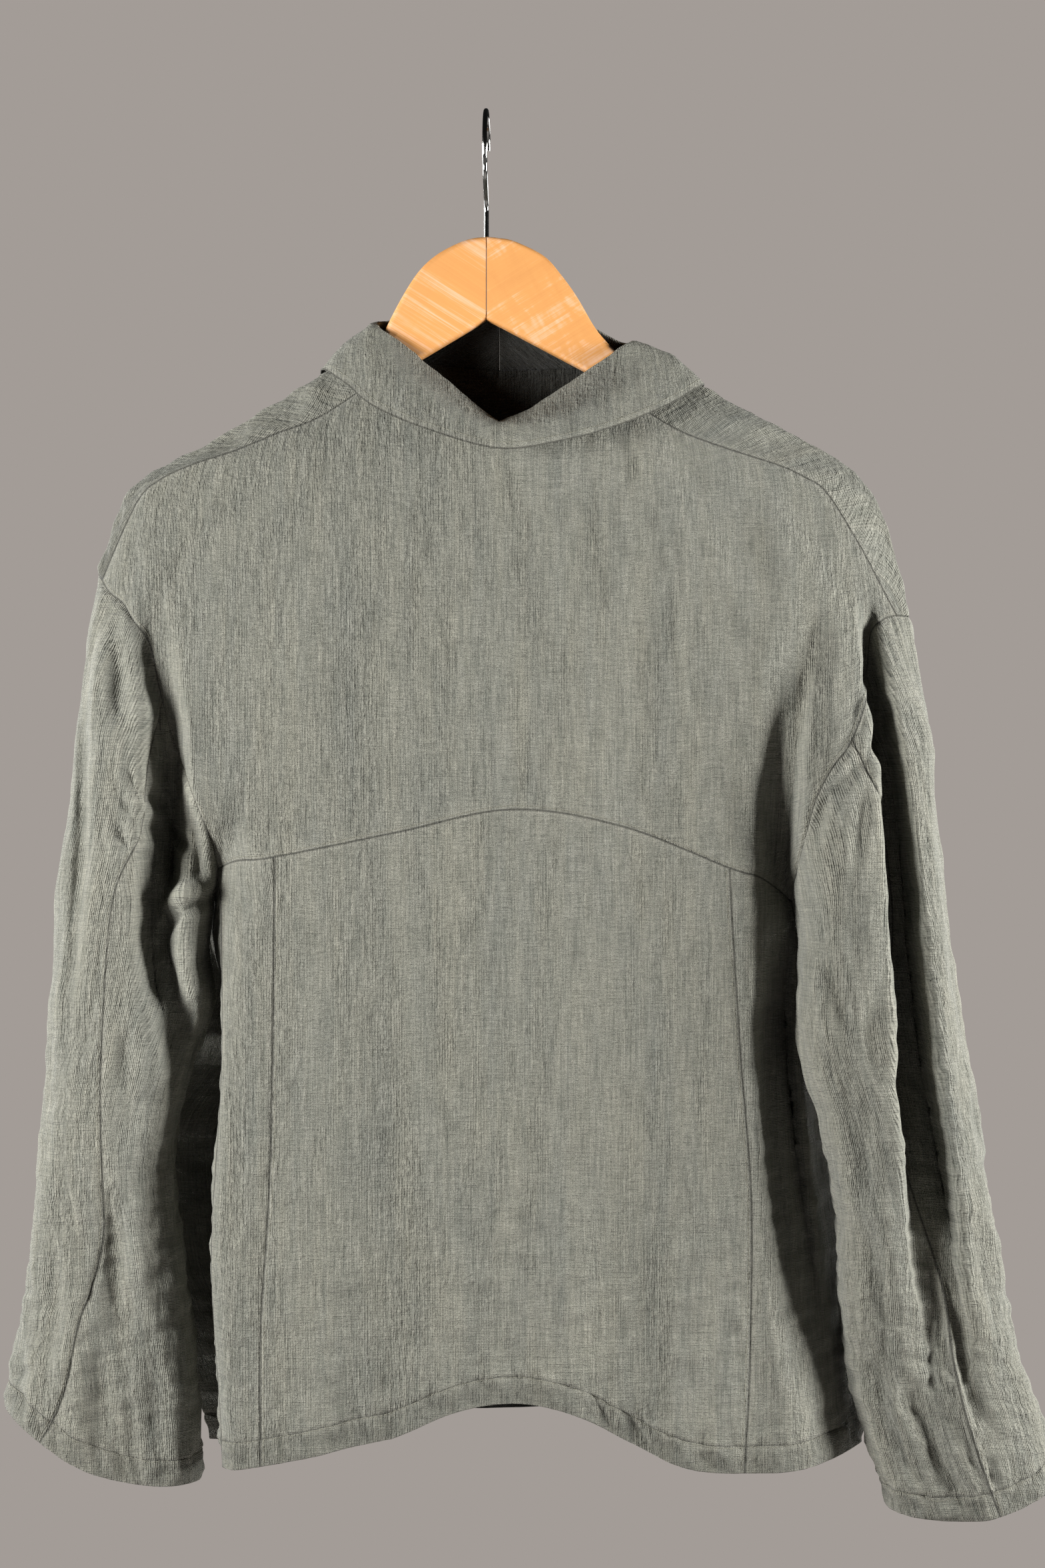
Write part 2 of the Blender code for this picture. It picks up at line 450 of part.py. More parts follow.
def collar_rings(t):
    """Rings of the collar: neck seam, inside of the fold, fold, outside of the fold, roll, free edge."""
    rings = (NECK_SEAM, COLLAR_FOLD, COLLAR_ROLL, COLLAR_EDGE)
    seam, fold, roll, edge = [spline(rows, t, True) for rows in rings]
    corners, before, share = np.array(COLLAR_FOLD, float), np.floor(t).astype(int), (t - np.floor(t))[:, None]
    straight = corners[before % 14] * (1 - share) + corners[(before + 1) % 14] * share
    fold = fold + (straight - fold) * np.exp(-((t + 7) % 14 - 7) ** 2 / 0.8)[:, None]
    def unit(v):
        return v / np.linalg.norm(v, axis=1, keepdims=True)
    stand, leaf = unit(seam - fold), unit(roll - fold)
    away = unit(stand + leaf)
    side = unit(leaf - away * (leaf * away).sum(1, keepdims=True))
    return seam, fold + away * 2.8 - side * 2.3, fold, fold + away * 2.8 + side * 2.3, roll, edge


def collar_stand(m=3):
    """Grid of the inner band of the collar."""
    seam, inner, *_ = collar_rings(collar_places())
    v = np.linspace(0, 1, m)[None, :, None]
    return seam[:, None] * (1 - v) + inner[:, None] * v


def collar_fall(m=5):
    """Grid of the outer leaf of the collar, rolled over the fold."""
    _, inner, fold, outer, roll, edge = collar_rings(collar_places())
    leaf = spline(np.stack([outer, roll, edge]), np.linspace(0, 2, m))
    return np.concatenate([inner[None], fold[None], leaf]).transpose(1, 0, 2)


def trimmed(p, sides, gap=SEAM_GAP / 2):
    """Grid with its named sides pulled in by half the seam gap, square to the seam."""
    q = p.copy()
    for side in sides:
        end, next_in = {"0": (0, 1), "1": (-1, -2)}[side[1]]
        line, inner = [(k, slice(None)) if side[0] == "u" else (slice(None), k) for k in (end, next_in)]
        run = np.gradient(p[line], axis=0)
        run /= np.maximum(np.linalg.norm(run, axis=-1, keepdims=True), 1e-9)
        step = p[inner] - p[line]
        step = step - run * (step * run).sum(-1, keepdims=True) * 0.9
        q[line] += step / np.maximum(np.linalg.norm(step, axis=-1, keepdims=True), 1e-9) * gap
    return q


def parted(p, outward):
    """Points moved a little apart under the arms, where sleeve and body hang side by side."""
    q = p.copy()
    for x, y, z in (ARMHOLE_LEFT[-1], ARMHOLE_RIGHT[-1]):
        near = np.exp(-((p - (x, y, z)) ** 2).sum(-1) / 18.0 ** 2)
        q[..., 0] += math.copysign(1.1, x) * near * (1 if outward else -1)
    return q


class Sheet:
    """One piece of cloth as a grid of points with some cells left out."""

    def __init__(self, name, grid, keep=None, flip=False):
        nu, nv = grid.shape[:2]
        keep = np.ones((nu - 1, nv - 1), bool) if keep is None else keep
        index = np.arange(nu * nv).reshape(nu, nv)
        quads = np.stack([index[:-1, :-1], index[1:, :-1], index[1:, 1:], index[:-1, 1:]], -1)[keep]
        if flip:
            quads = quads[:, ::-1]
        used, inverse = np.unique(quads, return_inverse=True)
        self.name = name
        self.points = grid.reshape(-1, 3)[used]
        self.quads = inverse.reshape(quads.shape)
        face = np.cross(self.points[self.quads[:, 2]] - self.points[self.quads[:, 0]],
                        self.points[self.quads[:, 3]] - self.points[self.quads[:, 1]])
        normal = np.zeros_like(self.points)
        for k in range(4):
            np.add.at(normal, self.quads[:, k], face)
        self.normal = normal / np.maximum(np.linalg.norm(normal, axis=1, keepdims=True), 1e-9)
        edges = np.concatenate([self.quads[:, [k, (k + 1) % 4]] for k in range(4)])
        forward = set(map(tuple, edges.tolist()))
        self.rim = np.array([e for e in forward if (e[1], e[0]) not in forward])


def share_normals(sheets, reach=0.8):
    """Give neighbouring pieces the same thickness direction along their common seam."""
    old = [s.normal.copy() for s in sheets]
    for i, sheet in enumerate(sheets):
        rim = np.unique(sheet.rim)
        total = old[i][rim].copy()
        for j, other in enumerate(sheets):
            if i == j:
                continue
            a, b = other.points[other.rim[:, 0]], other.points[other.rim[:, 1]]
            na, nb = old[j][other.rim[:, 0]], old[j][other.rim[:, 1]]
            d = b - a
            length = np.maximum((d * d).sum(1), 1e-12)
            for k, vertex in enumerate(rim):
                w = sheet.points[vertex] - a
                f = np.clip((w * d).sum(1) / length, 0, 1)
                near = np.linalg.norm(w - d * f[:, None], axis=1)
                m = int(near.argmin())
                if near[m] < reach:
                    there = na[m] * (1 - f[m]) + nb[m] * f[m]
                    total[k] += there * (1 if (there * old[i][vertex]).sum() > 0 else -1)
        sheet.normal[rim] = total / np.linalg.norm(total, axis=1, keepdims=True)


def new_material(name, colour, roughness, metallic=0.0):
    """Principled material with a colour, a roughness and a metal share."""
    mat = bpy.data.materials.new(name)
    mat.use_nodes = True
    shader = mat.node_tree.nodes["Principled BSDF"]
    shader.inputs["Base Color"].default_value = (*colour, 1)
    shader.inputs["Roughness"].default_value = roughness
    shader.inputs["Metallic"].default_value = metallic
    return mat


def add_object(name, verts, faces, mat, collection):
    """Mesh object from points in millimetres."""
    mesh = bpy.data.meshes.new(name)
    mesh.from_pydata([tuple(v) for v in np.asarray(verts) / 1000], [], [list(f) for f in faces])
    mesh.materials.append(mat)
    obj = bpy.data.objects.new(name, mesh)
    collection.objects.link(obj)
    return obj


def add_sheet(sheet, mat, collection):
    """Closed solid of one piece of cloth, with half the wall on each side of its surface."""
    n = len(sheet.points)
    verts = np.concatenate([sheet.points + sheet.normal * WALL / 2, sheet.points - sheet.normal * WALL / 2])
    faces = [list(q) for q in sheet.quads] + [[k + n for k in q[::-1]] for q in sheet.quads]
    faces += [[b, a, a + n, b + n] for a, b in sheet.rim]
    return add_object(sheet.name, verts, faces, mat, collection)


def cloth_sheets():
    """All cloth pieces of the shirt as open sheets with outward normals."""
    front, keep = front_grid()
    panels = [("back_side_left", 0, 1, SIDE_LEFT_CELLS), ("back_centre", 1, 5, CENTRE_CELLS),
              ("back_side_right", 5, SIDE_SEAM, SIDE_RIGHT_CELLS)]
    pieces = [("upper_back", trimmed(parted(folded(upper_back()), False), ("u0", "u1", "v0", "v1")), None, True)]
    for name, u0, u1, cells in panels:
        grid = body_panel(u0, u1, ARCH_SEAM, HEM_LINE, cells + 1, SKIRT_ROWS + 1)
        pieces.append((name, trimmed(parted(folded(grid), False), ("u0", "u1", "v0")), None, True))
    pieces.append(("front", trimmed(parted(folded(front), False), ("u0", "u1", "v0")), keep, False))
    for side in ("left", "right"):
        for piece in ("upper", "under"):
            grid = trimmed(parted(folded(sleeve_panel(side, piece)), True), ("u0", "u1", "v0"), 0.21)
            pieces.append((f"sleeve_{side}_{piece}", grid, None, side == "left"))
    pieces.append(("collar_stand", trimmed(collar_stand(), ("v0", "v1"), 0.35), None, False))
    pieces.append(("collar_fall", trimmed(collar_fall(), ("v0",)), None, False))
    return [Sheet(*piece) for piece in pieces]


# Outline of the wooden arms seen from behind: rows of sideways place and height
ARM_TOP = {
    -1: [(0, -78), (-9, -79), (-18, -82), (-31, -89), (-42, -99), (-52, -114), (-62.5, -134), (-68, -148),
         (-83, -163), (-103, -174), (-134, -193), (-171, -214.5), (-206, -232.5), (-216, -240)],
    1: [(0, -78), (9, -79), (18, -81), (36, -90), (47, -102), (57, -116), (67.5, -134), (75, -143.5),
        (84, -152.5), (103, -170), (138, -186), (190, -213.5), (212, -225.5), (224, -236)]}
ARM_LOW = {-1: [(-219, -246), (-213, -256), (-200, -250), (-120, -202), (-41, -155), (0.8, -130)],
           1: [(227, -242), (222, -250), (212, -243), (140, -204), (63, -163), (0.8, -130)]}


def add_arm(name, side, mat, collection):
    """Half of the wooden hanger: flat outline given its thickness, edges rounded over."""
    def refine(rows, n):
        return along(np.array([(x, 0, z) for x, z in rows]), np.linspace(0, 1, n))
    top, low = refine(ARM_TOP[side], 30), refine(ARM_LOW[side][:3], 5)
    loop = np.concatenate([top, low, refine(ARM_LOW[side][2:], 8)[1:]])
    loop[0, 0] = loop[-1, 0] = side * 0.15
    mesh = bpy.data.meshes.new(name)
    bm = bmesh.new()
    verts = [bm.verts.new((x / 1000, -WOOD / 2000, z / 1000)) for x, _, z in loop]
    face = bm.faces.new(verts)
    bmesh.ops.recalc_face_normals(bm, faces=[face])
    bm.to_mesh(mesh)
    bm.free()
    mesh.materials.append(mat)
    obj = bpy.data.objects.new(name, mesh)
    collection.objects.link(obj)
    solid = obj.modifiers.new("thickness", "SOLIDIFY")
    solid.thickness = WOOD / 1000
    solid.offset = -1.0 if face_points_back(mesh) else 1.0
    bevel = obj.modifiers.new("edges", "BEVEL")
    bevel.width = 0.0035
    bevel.segments = 3
    bevel.limit_method = "ANGLE"
    bevel.angle_limit = math.radians(60)
    return obj


def face_points_back(mesh):
    """True when the single face of a flat mesh looks towards -Y."""
    return mesh.polygons[0].normal.y < 0


def add_hook(name, mat, collection):
    """Bent wire: shank out of the wood, side step, and a bend open at the front."""
    turn = math.radians(HOOK_TURN)
    points = [(0, 0, -84), (0, 0, -66), (0, -1, -58), (0, -8, -50), (0, -17, -41)]
    centre = -HOOK_RADIUS + WIRE / 2
    for k in range(13):
        a = math.radians(215 - 205 * k / 12)
        points.append((0, math.cos(a) * HOOK_RADIUS, centre + math.sin(a) * HOOK_RADIUS))
    curve = bpy.data.curves.new(name, "CURVE")
    curve.dimensions = "3D"
    curve.bevel_depth = WIRE / 2000
    curve.bevel_resolution = 2
    curve.use_fill_caps = True
    path = along(np.array(points, float), np.linspace(0, 1, 44))
    line = curve.splines.new("POLY")
    line.points.add(len(path) - 1)
    for point, (x, y, z) in zip(line.points, path):
        point.co = ((x + y * math.sin(turn)) / 1000, y * math.cos(turn) / 1000, z / 1000, 1)
    curve.materials.append(mat)
    obj = bpy.data.objects.new(name, curve)
    collection.objects.link(obj)
    return obj


def bore_hole(arm, cutter):
    """Hole for the shank cut half out of one arm."""
    cut = arm.modifiers.new("hook hole", "BOOLEAN")
    cut.object = cutter
    cut.operation = "DIFFERENCE"
    cut.solver = "EXACT"


def main():
    for obj in list(bpy.data.objects):
        bpy.data.objects.remove(obj)
    shirt = bpy.data.collections.new("boxy_shirt_on_hanger")
    cutters = bpy.data.collections.new("cutters")
    bpy.context.scene.collection.children.link(shirt)
    bpy.context.scene.collection.children.link(cutters)
    sheets = cloth_sheets()
    share_normals(sheets)
    for sheet in sheets:
        linen = new_material(f"linen_{sheet.name}", (0.21, 0.205, 0.175), 0.9)
        add_sheet(sheet, linen, shirt)
    mesh = bpy.data.meshes.new("hook_hole")
    bm = bmesh.new()
    radius = WIRE / 2000 + 0.0002
    bmesh.ops.create_cone(bm, cap_ends=True, segments=16, radius1=radius, radius2=radius, depth=0.030)
    bm.to_mesh(mesh)
    bm.free()
    hole = bpy.data.objects.new("hook_hole", mesh)
    hole.location = (0, 0, -0.0705)
    hole.hide_render = True
    hole.display_type = "WIRE"
    cutters.objects.link(hole)
    for name, side in (("hanger_arm_left", -1), ("hanger_arm_right", 1)):
        arm = add_arm(name, side, new_material(f"wood_{name}", (0.80, 0.48, 0.20), 0.45), shirt)
        bore_hole(arm, hole)
    add_hook("hanger_hook", new_material("steel_hook", (0.6, 0.6, 0.6), 0.12, 1.0), shirt)


if __name__ == "__main__":
    main()
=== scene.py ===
# Boxy washed-linen shirt with dropped shoulders on a wooden hanger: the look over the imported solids.
# The back faces -Y, the front +Y, up is +Z, the origin is the inside top of the hook. Tables are in mm.
import bpy
import math
import numpy as np
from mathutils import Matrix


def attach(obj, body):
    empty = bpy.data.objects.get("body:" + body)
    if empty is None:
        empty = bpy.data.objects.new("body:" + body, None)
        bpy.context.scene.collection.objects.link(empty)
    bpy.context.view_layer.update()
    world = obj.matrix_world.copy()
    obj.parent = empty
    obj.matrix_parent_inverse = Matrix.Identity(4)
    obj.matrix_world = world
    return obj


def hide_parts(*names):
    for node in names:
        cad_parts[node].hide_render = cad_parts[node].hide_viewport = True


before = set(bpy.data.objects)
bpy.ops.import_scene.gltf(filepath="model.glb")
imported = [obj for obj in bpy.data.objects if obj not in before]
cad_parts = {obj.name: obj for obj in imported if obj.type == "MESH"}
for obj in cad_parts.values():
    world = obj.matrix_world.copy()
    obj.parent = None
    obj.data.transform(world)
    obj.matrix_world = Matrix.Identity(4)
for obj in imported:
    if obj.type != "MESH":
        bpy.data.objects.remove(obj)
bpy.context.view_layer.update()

MM = 0.001
CLOTH = 0.9             # thickness of the linen shell
HEM_DEEP = 18.0         # turned-up hem and cuff
HEM_STITCH = 16.5       # distance of the hem's stitch row from the edge
WIRE = 3.0              # hook wire
WOOD = 12.0             # thickness of the hanger arms
HOOK_RADIUS = 23.6      # bend of the hook, to the middle of the wire
HOOK_TURN = 2.0         # degrees that the hook is turned round its shank
FRONT_DEPTH = 42.0      # how far the front stands off the middle plane

# Lines down the body as rows of height, sideways place, depth
BACK_EDGE_LEFT = [
    (-476, -169, -8), (-494, -165.5, -17), (-512, -164, -25), (-597, -163, -35), (-718, -169, -36),
    (-844, -162, -36)]
PANEL_SEAM_LEFT = [
    (-468, -130, -42), (-596, -131, -45), (-677, -133, -46), (-759, -138, -47), (-844, -138, -48)]
PANEL_SEAM_RIGHT = [(-468, 150, -42), (-596, 157, -46), (-677, 163, -47), (-782, 162, -48), (-845, 159, -48)]
BACK_TURN_RIGHT = [(-480, 171, -33), (-538, 174, -38), (-596, 177, -40), (-760, 189, -43), (-844, 197, -44)]
SIDE_RIGHT = [
    (-497, 192, -9), (-515, 196, -3), (-530, 199, 1), (-560, 203, 7), (-585, 206, 11), (-642, 214, 14),
    (-705, 226, 15), (-789, 233, 15), (-844, 237, 10)]
FRONT_EDGE_RIGHT = [
    (-497, 186, 8), (-515, 186, 16), (-540, 189, 23), (-600, 196, 30), (-642, 202, 33), (-705, 214, 35),
    (-789, 222, 36), (-844, 228, 33)]
FRONT_EDGE_LEFT = [
    (-476, -159, 8), (-484, -170, 14), (-494, -174, 17), (-510, -179, 21), (-538, -184, 27),
    (-599, -191, 32), (-640, -203, 36), (-667, -204, 37), (-729, -201, 38), (-770, -194, 38),
    (-809, -187, 38), (-844, -178, 36)]

# Seam across the back, the hem and the start of the front's skirt as rows of place round the body, height
ARCH_SEAM = [
    (0, -476), (0.5, -470), (1, -467), (2, -452), (3, -438), (4, -448), (5, -474), (6, -481), (7, -497)]
HEM_LINE = [
    (0, -844), (1, -841), (2, -824), (2.5, -807), (3, -801), (3.5, -808), (4, -826), (4.5, -842), (5, -845),
    (6, -843), (7, -839), (8, -838), (9, -840), (10, -830), (11, -824), (12, -830), (13, -842), (14, -843),
    (15, -844)]
FRONT_START = [(7, -497), (8, -492), (11, -486), (14, -478), (15, -476)]
ROUND = 15              # the body tube counts 15 places once round
SIDE_SEAM = 7           # place of the right side seam; the left one is at 0

# Armhole seams on the back as rows of place, depth, height from the shoulder to under the arm
ARMHOLE = {
    "left": [(-244, 0, -290), (-236, -11, -302), (-226, -18, -310), (-219, -24, -321), (-209, -29, -336),
        (-204, -30, -362), (-195, -33, -397), (-183, -34, -424), (-175, -29, -446), (-170, -18, -464),
        (-169, -8, -476)],
    "right": [(266, 0, -317), (255, -9, -317), (246, -17, -321), (240, -24, -330), (238, -33, -350),
        (234, -41, -372), (224, -48, -397), (213, -50, -412), (203, -47, -432), (198, -38, -454),
        (194, -22, -478), (192, -8, -497)]}

# Top line of the shoulders, then the shoulder seams behind it
RIDGE = {
    "left": [(-85, 0, -155.5), (-103, 0, -166), (-134, 0, -185), (-171, 0, -207), (-208, 0, -225),
        (-224, 0, -237), (-233, 0, -256), (-244, 0, -290)],
    "right": [(104, 0, -159), (138, 0, -175), (160, 0, -186), (190, 0, -203), (211, 0, -213), (237, 0, -233),
        (255, 0, -270), (266, 0, -317)]}
SHOULDER_SEAM = {
    "left": [(-70, -15, -171), (-104, -14, -192), (-132, -13, -202), (-158, -12, -212), (-185, -11, -220),
        (-206, -9, -229), (-221, -6, -243), (-244, 0, -290)],
    "right": [(90, -16, -184), (122, -16, -202), (152, -16, -213), (187, -15, -224), (203, -14, -231),
        (218, -13, -241), (242, -11, -277), (266, 0, -317)]}

# Rings of the neck, each once round from the nape by way of the left: neck seam, collar fold, roll of the
# leaf, its free edge
NECK_SEAM = [
    (8, -39, -209), (-22, -35, -200), (-48, -27, -186), (-70, -15, -171), (-85, 0, -155.5), (-74, 11, -153),
    (-42, 20, -154), (8, 25, -158), (58, 20, -157), (92, 11, -156), (104, 0, -159), (90, -16, -184),
    (66, -28, -193), (36, -35, -202)]
COLLAR_FOLD = [
    (8, -15, -198), (-26, -12, -169.5), (-50, -10.5, -149), (-65, -9.5, -138), (-68.5, 0, -133.5),
    (-63, 9.5, -130), (-38, 13, -126), (8, 15, -123), (58, 13, -130), (84, 9.5, -143), (91, 0, -143.5),
    (85, -9.5, -149), (60, -11, -166), (35, -13, -183)]
COLLAR_ROLL = [
    (8, -46, -202), (-26, -39, -186), (-57, -29, -170), (-77, -17, -157), (-88, 0, -145), (-80, 20, -150),
    (-50, 30, -154), (8, 34, -157), (66, 30, -156), (102, 20, -157), (118, 0, -154), (105, -19, -168),
    (78, -32, -182), (46, -40, -194)]
COLLAR_EDGE = [
    (8, -53, -217), (-38, -45, -203.5), (-70, -31, -188), (-88, -17, -172), (-104, 0, -161), (-98, 19, -175),
    (-62, 37, -192), (8, 43, -199), (80, 37, -194), (124, 18, -180), (137, 0, -170.5), (113, -28, -187),
    (80, -42, -202), (46, -50, -212)]
RING = 14               # each ring counts 14 places
FRONT_CENTRE = 7        # the ring place at the centre front
RIDGE_AT = {"left": 4, "right": 10}     # ring places on the ridge of the shoulders
SEAM_AT = {"left": 3, "right": 11}      # ring places at the shoulder seams

# Sleeves down to the cuff as rows of outer edge x and z, inner edge x and z, depth of the middle at the outer
# and inner edge, how far the back and the front half bulge, sag of the row
SLEEVE = {
    "left": [(-249, -330, -173.5, -500, -2, -8, 34, 26, 4), (-256, -400, -175, -530, -4, -8, 40, 30, 4),
        (-264, -470, -173, -560, -4, -8, 42, 32, 3), (-272, -575, -186, -600, -4, -6, 42, 34, 3),
        (-279, -655, -197, -655, -2, -4, 40, 34, 3), (-288, -740, -189, -736, 0, -2, 38, 34, 6),
        (-297, -785, -182, -800, 0, -2, 34, 32, 12), (-302, -812, -180, -858, 0, -4, 30, 30, 16)],
    "right": [(275, -380, 196, -520, -6, -24, 38, 30, 2), (283, -462, 195, -548, -8, -28, 40, 32, 2),
        (296, -556, 195, -585, -8, -28, 42, 34, 2), (308, -635, 210, -636, -8, -28, 42, 34, 2),
        (321, -726, 221, -700, -6, -24, 40, 34, 4), (331, -776, 222, -760, -4, -18, 38, 34, 6),
        (346, -815, 233, -815, -2, -14, 36, 34, 12), (360, -858, 251, -873, 0, -10, 32, 32, 12)]}

# Large folds: rows of place, height, depth of the fold, half width of its floor; then how soft each side is.
# The deep ones are drawn tighter than in the solids, and flank_left lets the cloth beside one sink towards it
FOLDS_BACK = {
    "arm_left": ([(-208, -290, 0, 1), (-205, -335, 8, 2), (-200, -383, 17, 4), (-201, -442, 30, 5),
        (-205, -500, 32, 5), (-200, -550, 24, 6), (-190, -590, 10, 6), (-184, -625, 0, 4)], 10, 15),
    "arm_right": ([(239, -300, 0, 1), (238, -330, 12, 2), (243, -365, 26, 3), (249, -412, 36, 4),
        (254, -455, 42, 5), (259, -530, 46, 7), (263, -590, 44, 9), (268, -640, 34, 11), (276, -700, 16, 12),
        (284, -770, 4, 10)], 7, 7),
    "body_right": ([(200, -300, 0, 4), (193, -350, 5, 4), (188, -411, 14, 4), (186, -453, 20, 4),
        (184, -480, 13, 4), (185, -510, 4, 4), (185, -550, 22, 4), (184, -570, 31, 5), (187, -640, 24, 6),
        (194, -720, 12, 8), (202, -800, 0, 8)], 17, 7),
    "sleeve_crease": ([(-243, -310, 0, 0), (-250, -364, 5, 1), (-250, -450, 6, 1), (-255, -540, 3, 1),
        (-259, -600, 0, 1)], 6, 5),
    "cuff_left": ([(-238, -640, 0, 3), (-234, -740, 7, 4), (-226, -830, 6, 6), (-222, -870, 5, 6)], 20, 20),
    "cuff_right": ([(262, -700, 0, 3), (268, -780, 8, 4), (282, -850, 7, 5), (288, -880, 6, 5)], 20, 20),
    "nape_left": ([(-60, -230, 0, 4), (-90, -330, 3, 6), (-96, -430, 2, 6), (-70, -640, 3, 8),
        (-72, -840, 6, 8)], 26, 26),
    "waist_right": ([(80, -300, 0, 4), (95, -450, 3, 6), (88, -650, 4, 8), (84, -850, 6, 8)], 24, 24),
    "flank_left": ([(-200, -380, 0, 2), (-197, -405, 7, 4), (-193, -430, 12, 6), (-190, -455, 15, 8),
        (-188, -476, 12, 8), (-187, -492, 0, 6)], 12, 9)}
FOLDS_FRONT = {
    "arm_left": ([(-204, -320, 0, 2), (-208, -420, 10, 3), (-214, -500, 13, 4), (-220, -590, 8, 5),
        (-222, -670, 0, 4)], 22, 20),
    "arm_right": ([(232, -330, 0, 2), (240, -420, 9, 3), (250, -520, 13, 5), (262, -620, 9, 6),
        (272, -720, 0, 6)], 22, 22),
    "chest_left": ([(-120, -230, 0, 4), (-112, -330, 6, 6), (-98, -520, 5, 6), (-92, -700, 7, 8),
        (-88, -850, 9, 8)], 26, 22),
    "chest_right": ([(130, -240, 0, 4), (112, -350, 5, 6), (104, -560, 7, 8), (112, -850, 9, 8)], 22, 26),
    "belly": ([(30, -420, 0, 4), (24, -560, 4, 8), (14, -720, 6, 8), (8, -850, 7, 10)], 22, 30),
    "cuff_left": ([(-250, -640, 0, 3), (-252, -740, 8, 4), (-250, -860, 8, 5)], 12, 12),
    "cuff_right": ([(292, -680, 0, 3), (304, -780, 8, 4), (316, -880, 8, 5)], 12, 12)}

# Back seam of each sleeve as rows of share along the sleeve, share round it; the under seam is hidden
BACK_SEAM = {
    "left": [(0, 0.23), (0.19, 0.255), (0.36, 0.208), (0.5, 0.225), (0.675, 0.262), (0.77, 0.21),
        (0.87, 0.19), (1, 0.15)],
    "right": [(0, 0.24), (0.25, 0.195), (0.38, 0.235), (0.51, 0.266), (0.66, 0.22), (0.84, 0.22), (1, 0.215)]}
UNDER_SEAM = 0.56
SEAM_END = {"left": 0.03, "right": 0.05}    # share of the armhole where the shoulder seam meets it
SLIT = 0.35                                 # share of the upper front that the neck slit runs down
WOOD_LOW = -262                             # the cloth lies on the hanger down to this height
FOLD_DOWN, FOLD_OUT = 2.8, 2.3              # sides of the collar's bend, below and beside its fold line
RIM = 0.25                                  # how far the rounded rim of the cloth stands out

# Cells of the grids along the shoulders, round the neck, over the ridge, down the panels and the sleeves,
# across the upper back and round the collar
SHOULDER, NECK_BACK, NECK_FRONT, OVER_ROWS = 52, 80, 30, 20
CHEST_ROWS, SKIRT_ROWS, BACK_ROWS, SLEEVE_ROWS = 96, 132, 116, 210
BACK_CELLS, COLLAR_CELLS = 189, 260
SETTLING = 700          # rounds in which hung cloth comes to rest


def hermite(a, b, c, d, f):
    """Smooth step from b to c with slopes taken from their neighbours."""
    return ((2 * f**3 - 3 * f**2 + 1) * b + (f**3 - 2 * f**2 + f) * (c - a) / 2
            + (3 * f**2 - 2 * f**3) * c + (f**3 - f**2) * (d - b) / 2)


def neighbours(i, n, closed):
    """Numbers of the four rows round each place i, held at the ends or counted round."""
    return [(i + k) % n if closed else np.clip(i + k, 0, n - 1) for k in (-1, 0, 1, 2)]


def spline(rows, t, closed=False):
    """Points on a smooth curve through the rows, t counting rows."""
    p, t = np.asarray(rows, float), np.asarray(t, float)
    t = t if closed else np.clip(t, 0, len(p) - 1)
    i = np.floor(t).astype(int) if closed else np.minimum(t.astype(int), len(p) - 2)
    f = (t - i).reshape(t.shape + (1,) * (p.ndim - 1))
    return hermite(*(p[k] for k in neighbours(i, len(p), closed)), f)


def between(p, t, closed=False):
    """Smooth steps between the rows of p, where each point has its own t counting rows."""
    i = np.floor(t).astype(int) if closed else np.clip(t.astype(int), 0, len(p) - 2)
    rows = [np.take_along_axis(p, k[None, ..., None], 0)[0] for k in neighbours(i, len(p), closed)]
    return hermite(*rows, (t - i)[..., None])


def arcs(p, axis=0):
    """Distance along one way of a line or grid of points, counted from its start."""
    step = np.linalg.norm(np.diff(p, axis=axis), axis=-1)
    return np.cumsum(np.pad(step, [(int(a == axis), 0) for a in range(step.ndim)]), axis=axis)


def at_run(x, run, p):
    """Points of the line p at x, where run counts along the line."""
    return np.stack([np.interp(x, run, column) for column in p.T], -1)


def unit(v):
    """Vectors made one long."""
    return v / np.maximum(np.linalg.norm(v, axis=-1, keepdims=True), 1e-9)


def along(rows, s):
    """Points on the curve through the rows at share s of its length."""
    t = np.linspace(0, len(rows) - 1, 30 * len(rows))
    run = arcs(spline(rows, t))
    return spline(rows, np.interp(np.asarray(s, float) * run[-1], run, t))


def at_key(rows, x):
    """Smooth values at x from rows of key, value and so on."""
    p = np.asarray(sorted(rows), float)
    out = spline(p[:, 1:], np.interp(np.asarray(x, float), p[:, 0], np.arange(len(p))))
    return out[..., 0] if p.shape[1] == 2 else out


def soft(x):
    """Smooth step from 0 to 1."""
    x = np.clip(x, 0, 1)
    return x * x * (3 - 2 * x)


def halves(p):
    """How far each point counts to the back and to the front, 0 to 1 in a band beside the middle plane."""
    start, band = 3, 18
    return soft((-start - p[..., 1]) / band), soft((p[..., 1] - start) / band)


def fold_depth(p, folds):
    """Depth that the large folds press into the points p."""
    total = np.zeros(p.shape[:-1])
    above, below = 12, 30   # lengths over which a fold fades in and out
    for rows, left, right in folds.values():
        q = np.asarray(sorted(rows, key=lambda r: -r[1]), float)
        k = np.interp(-p[..., 2], -q[:, 1], np.arange(len(q)))
        x, _, deep, floor = np.moveaxis(spline(q, k), -1, 0)
        off = p[..., 0] - x
        edge = np.where(off < 0, left, right)
        live = soft((q[0, 1] + above - p[..., 2]) / above) * soft((p[..., 2] - q[-1, 1] + below) / below)
        total += live * np.maximum(deep, 0) * (1 - soft((np.abs(off) - floor) / edge))
    return total


def folded(p):
    """Points with the large folds pressed in, the back ones forwards and the front ones backwards."""
    q, (back, front) = p.copy(), halves(p)
    q[..., 1] += fold_depth(p, FOLDS_BACK) * back - fold_depth(p, FOLDS_FRONT) * front
    return q


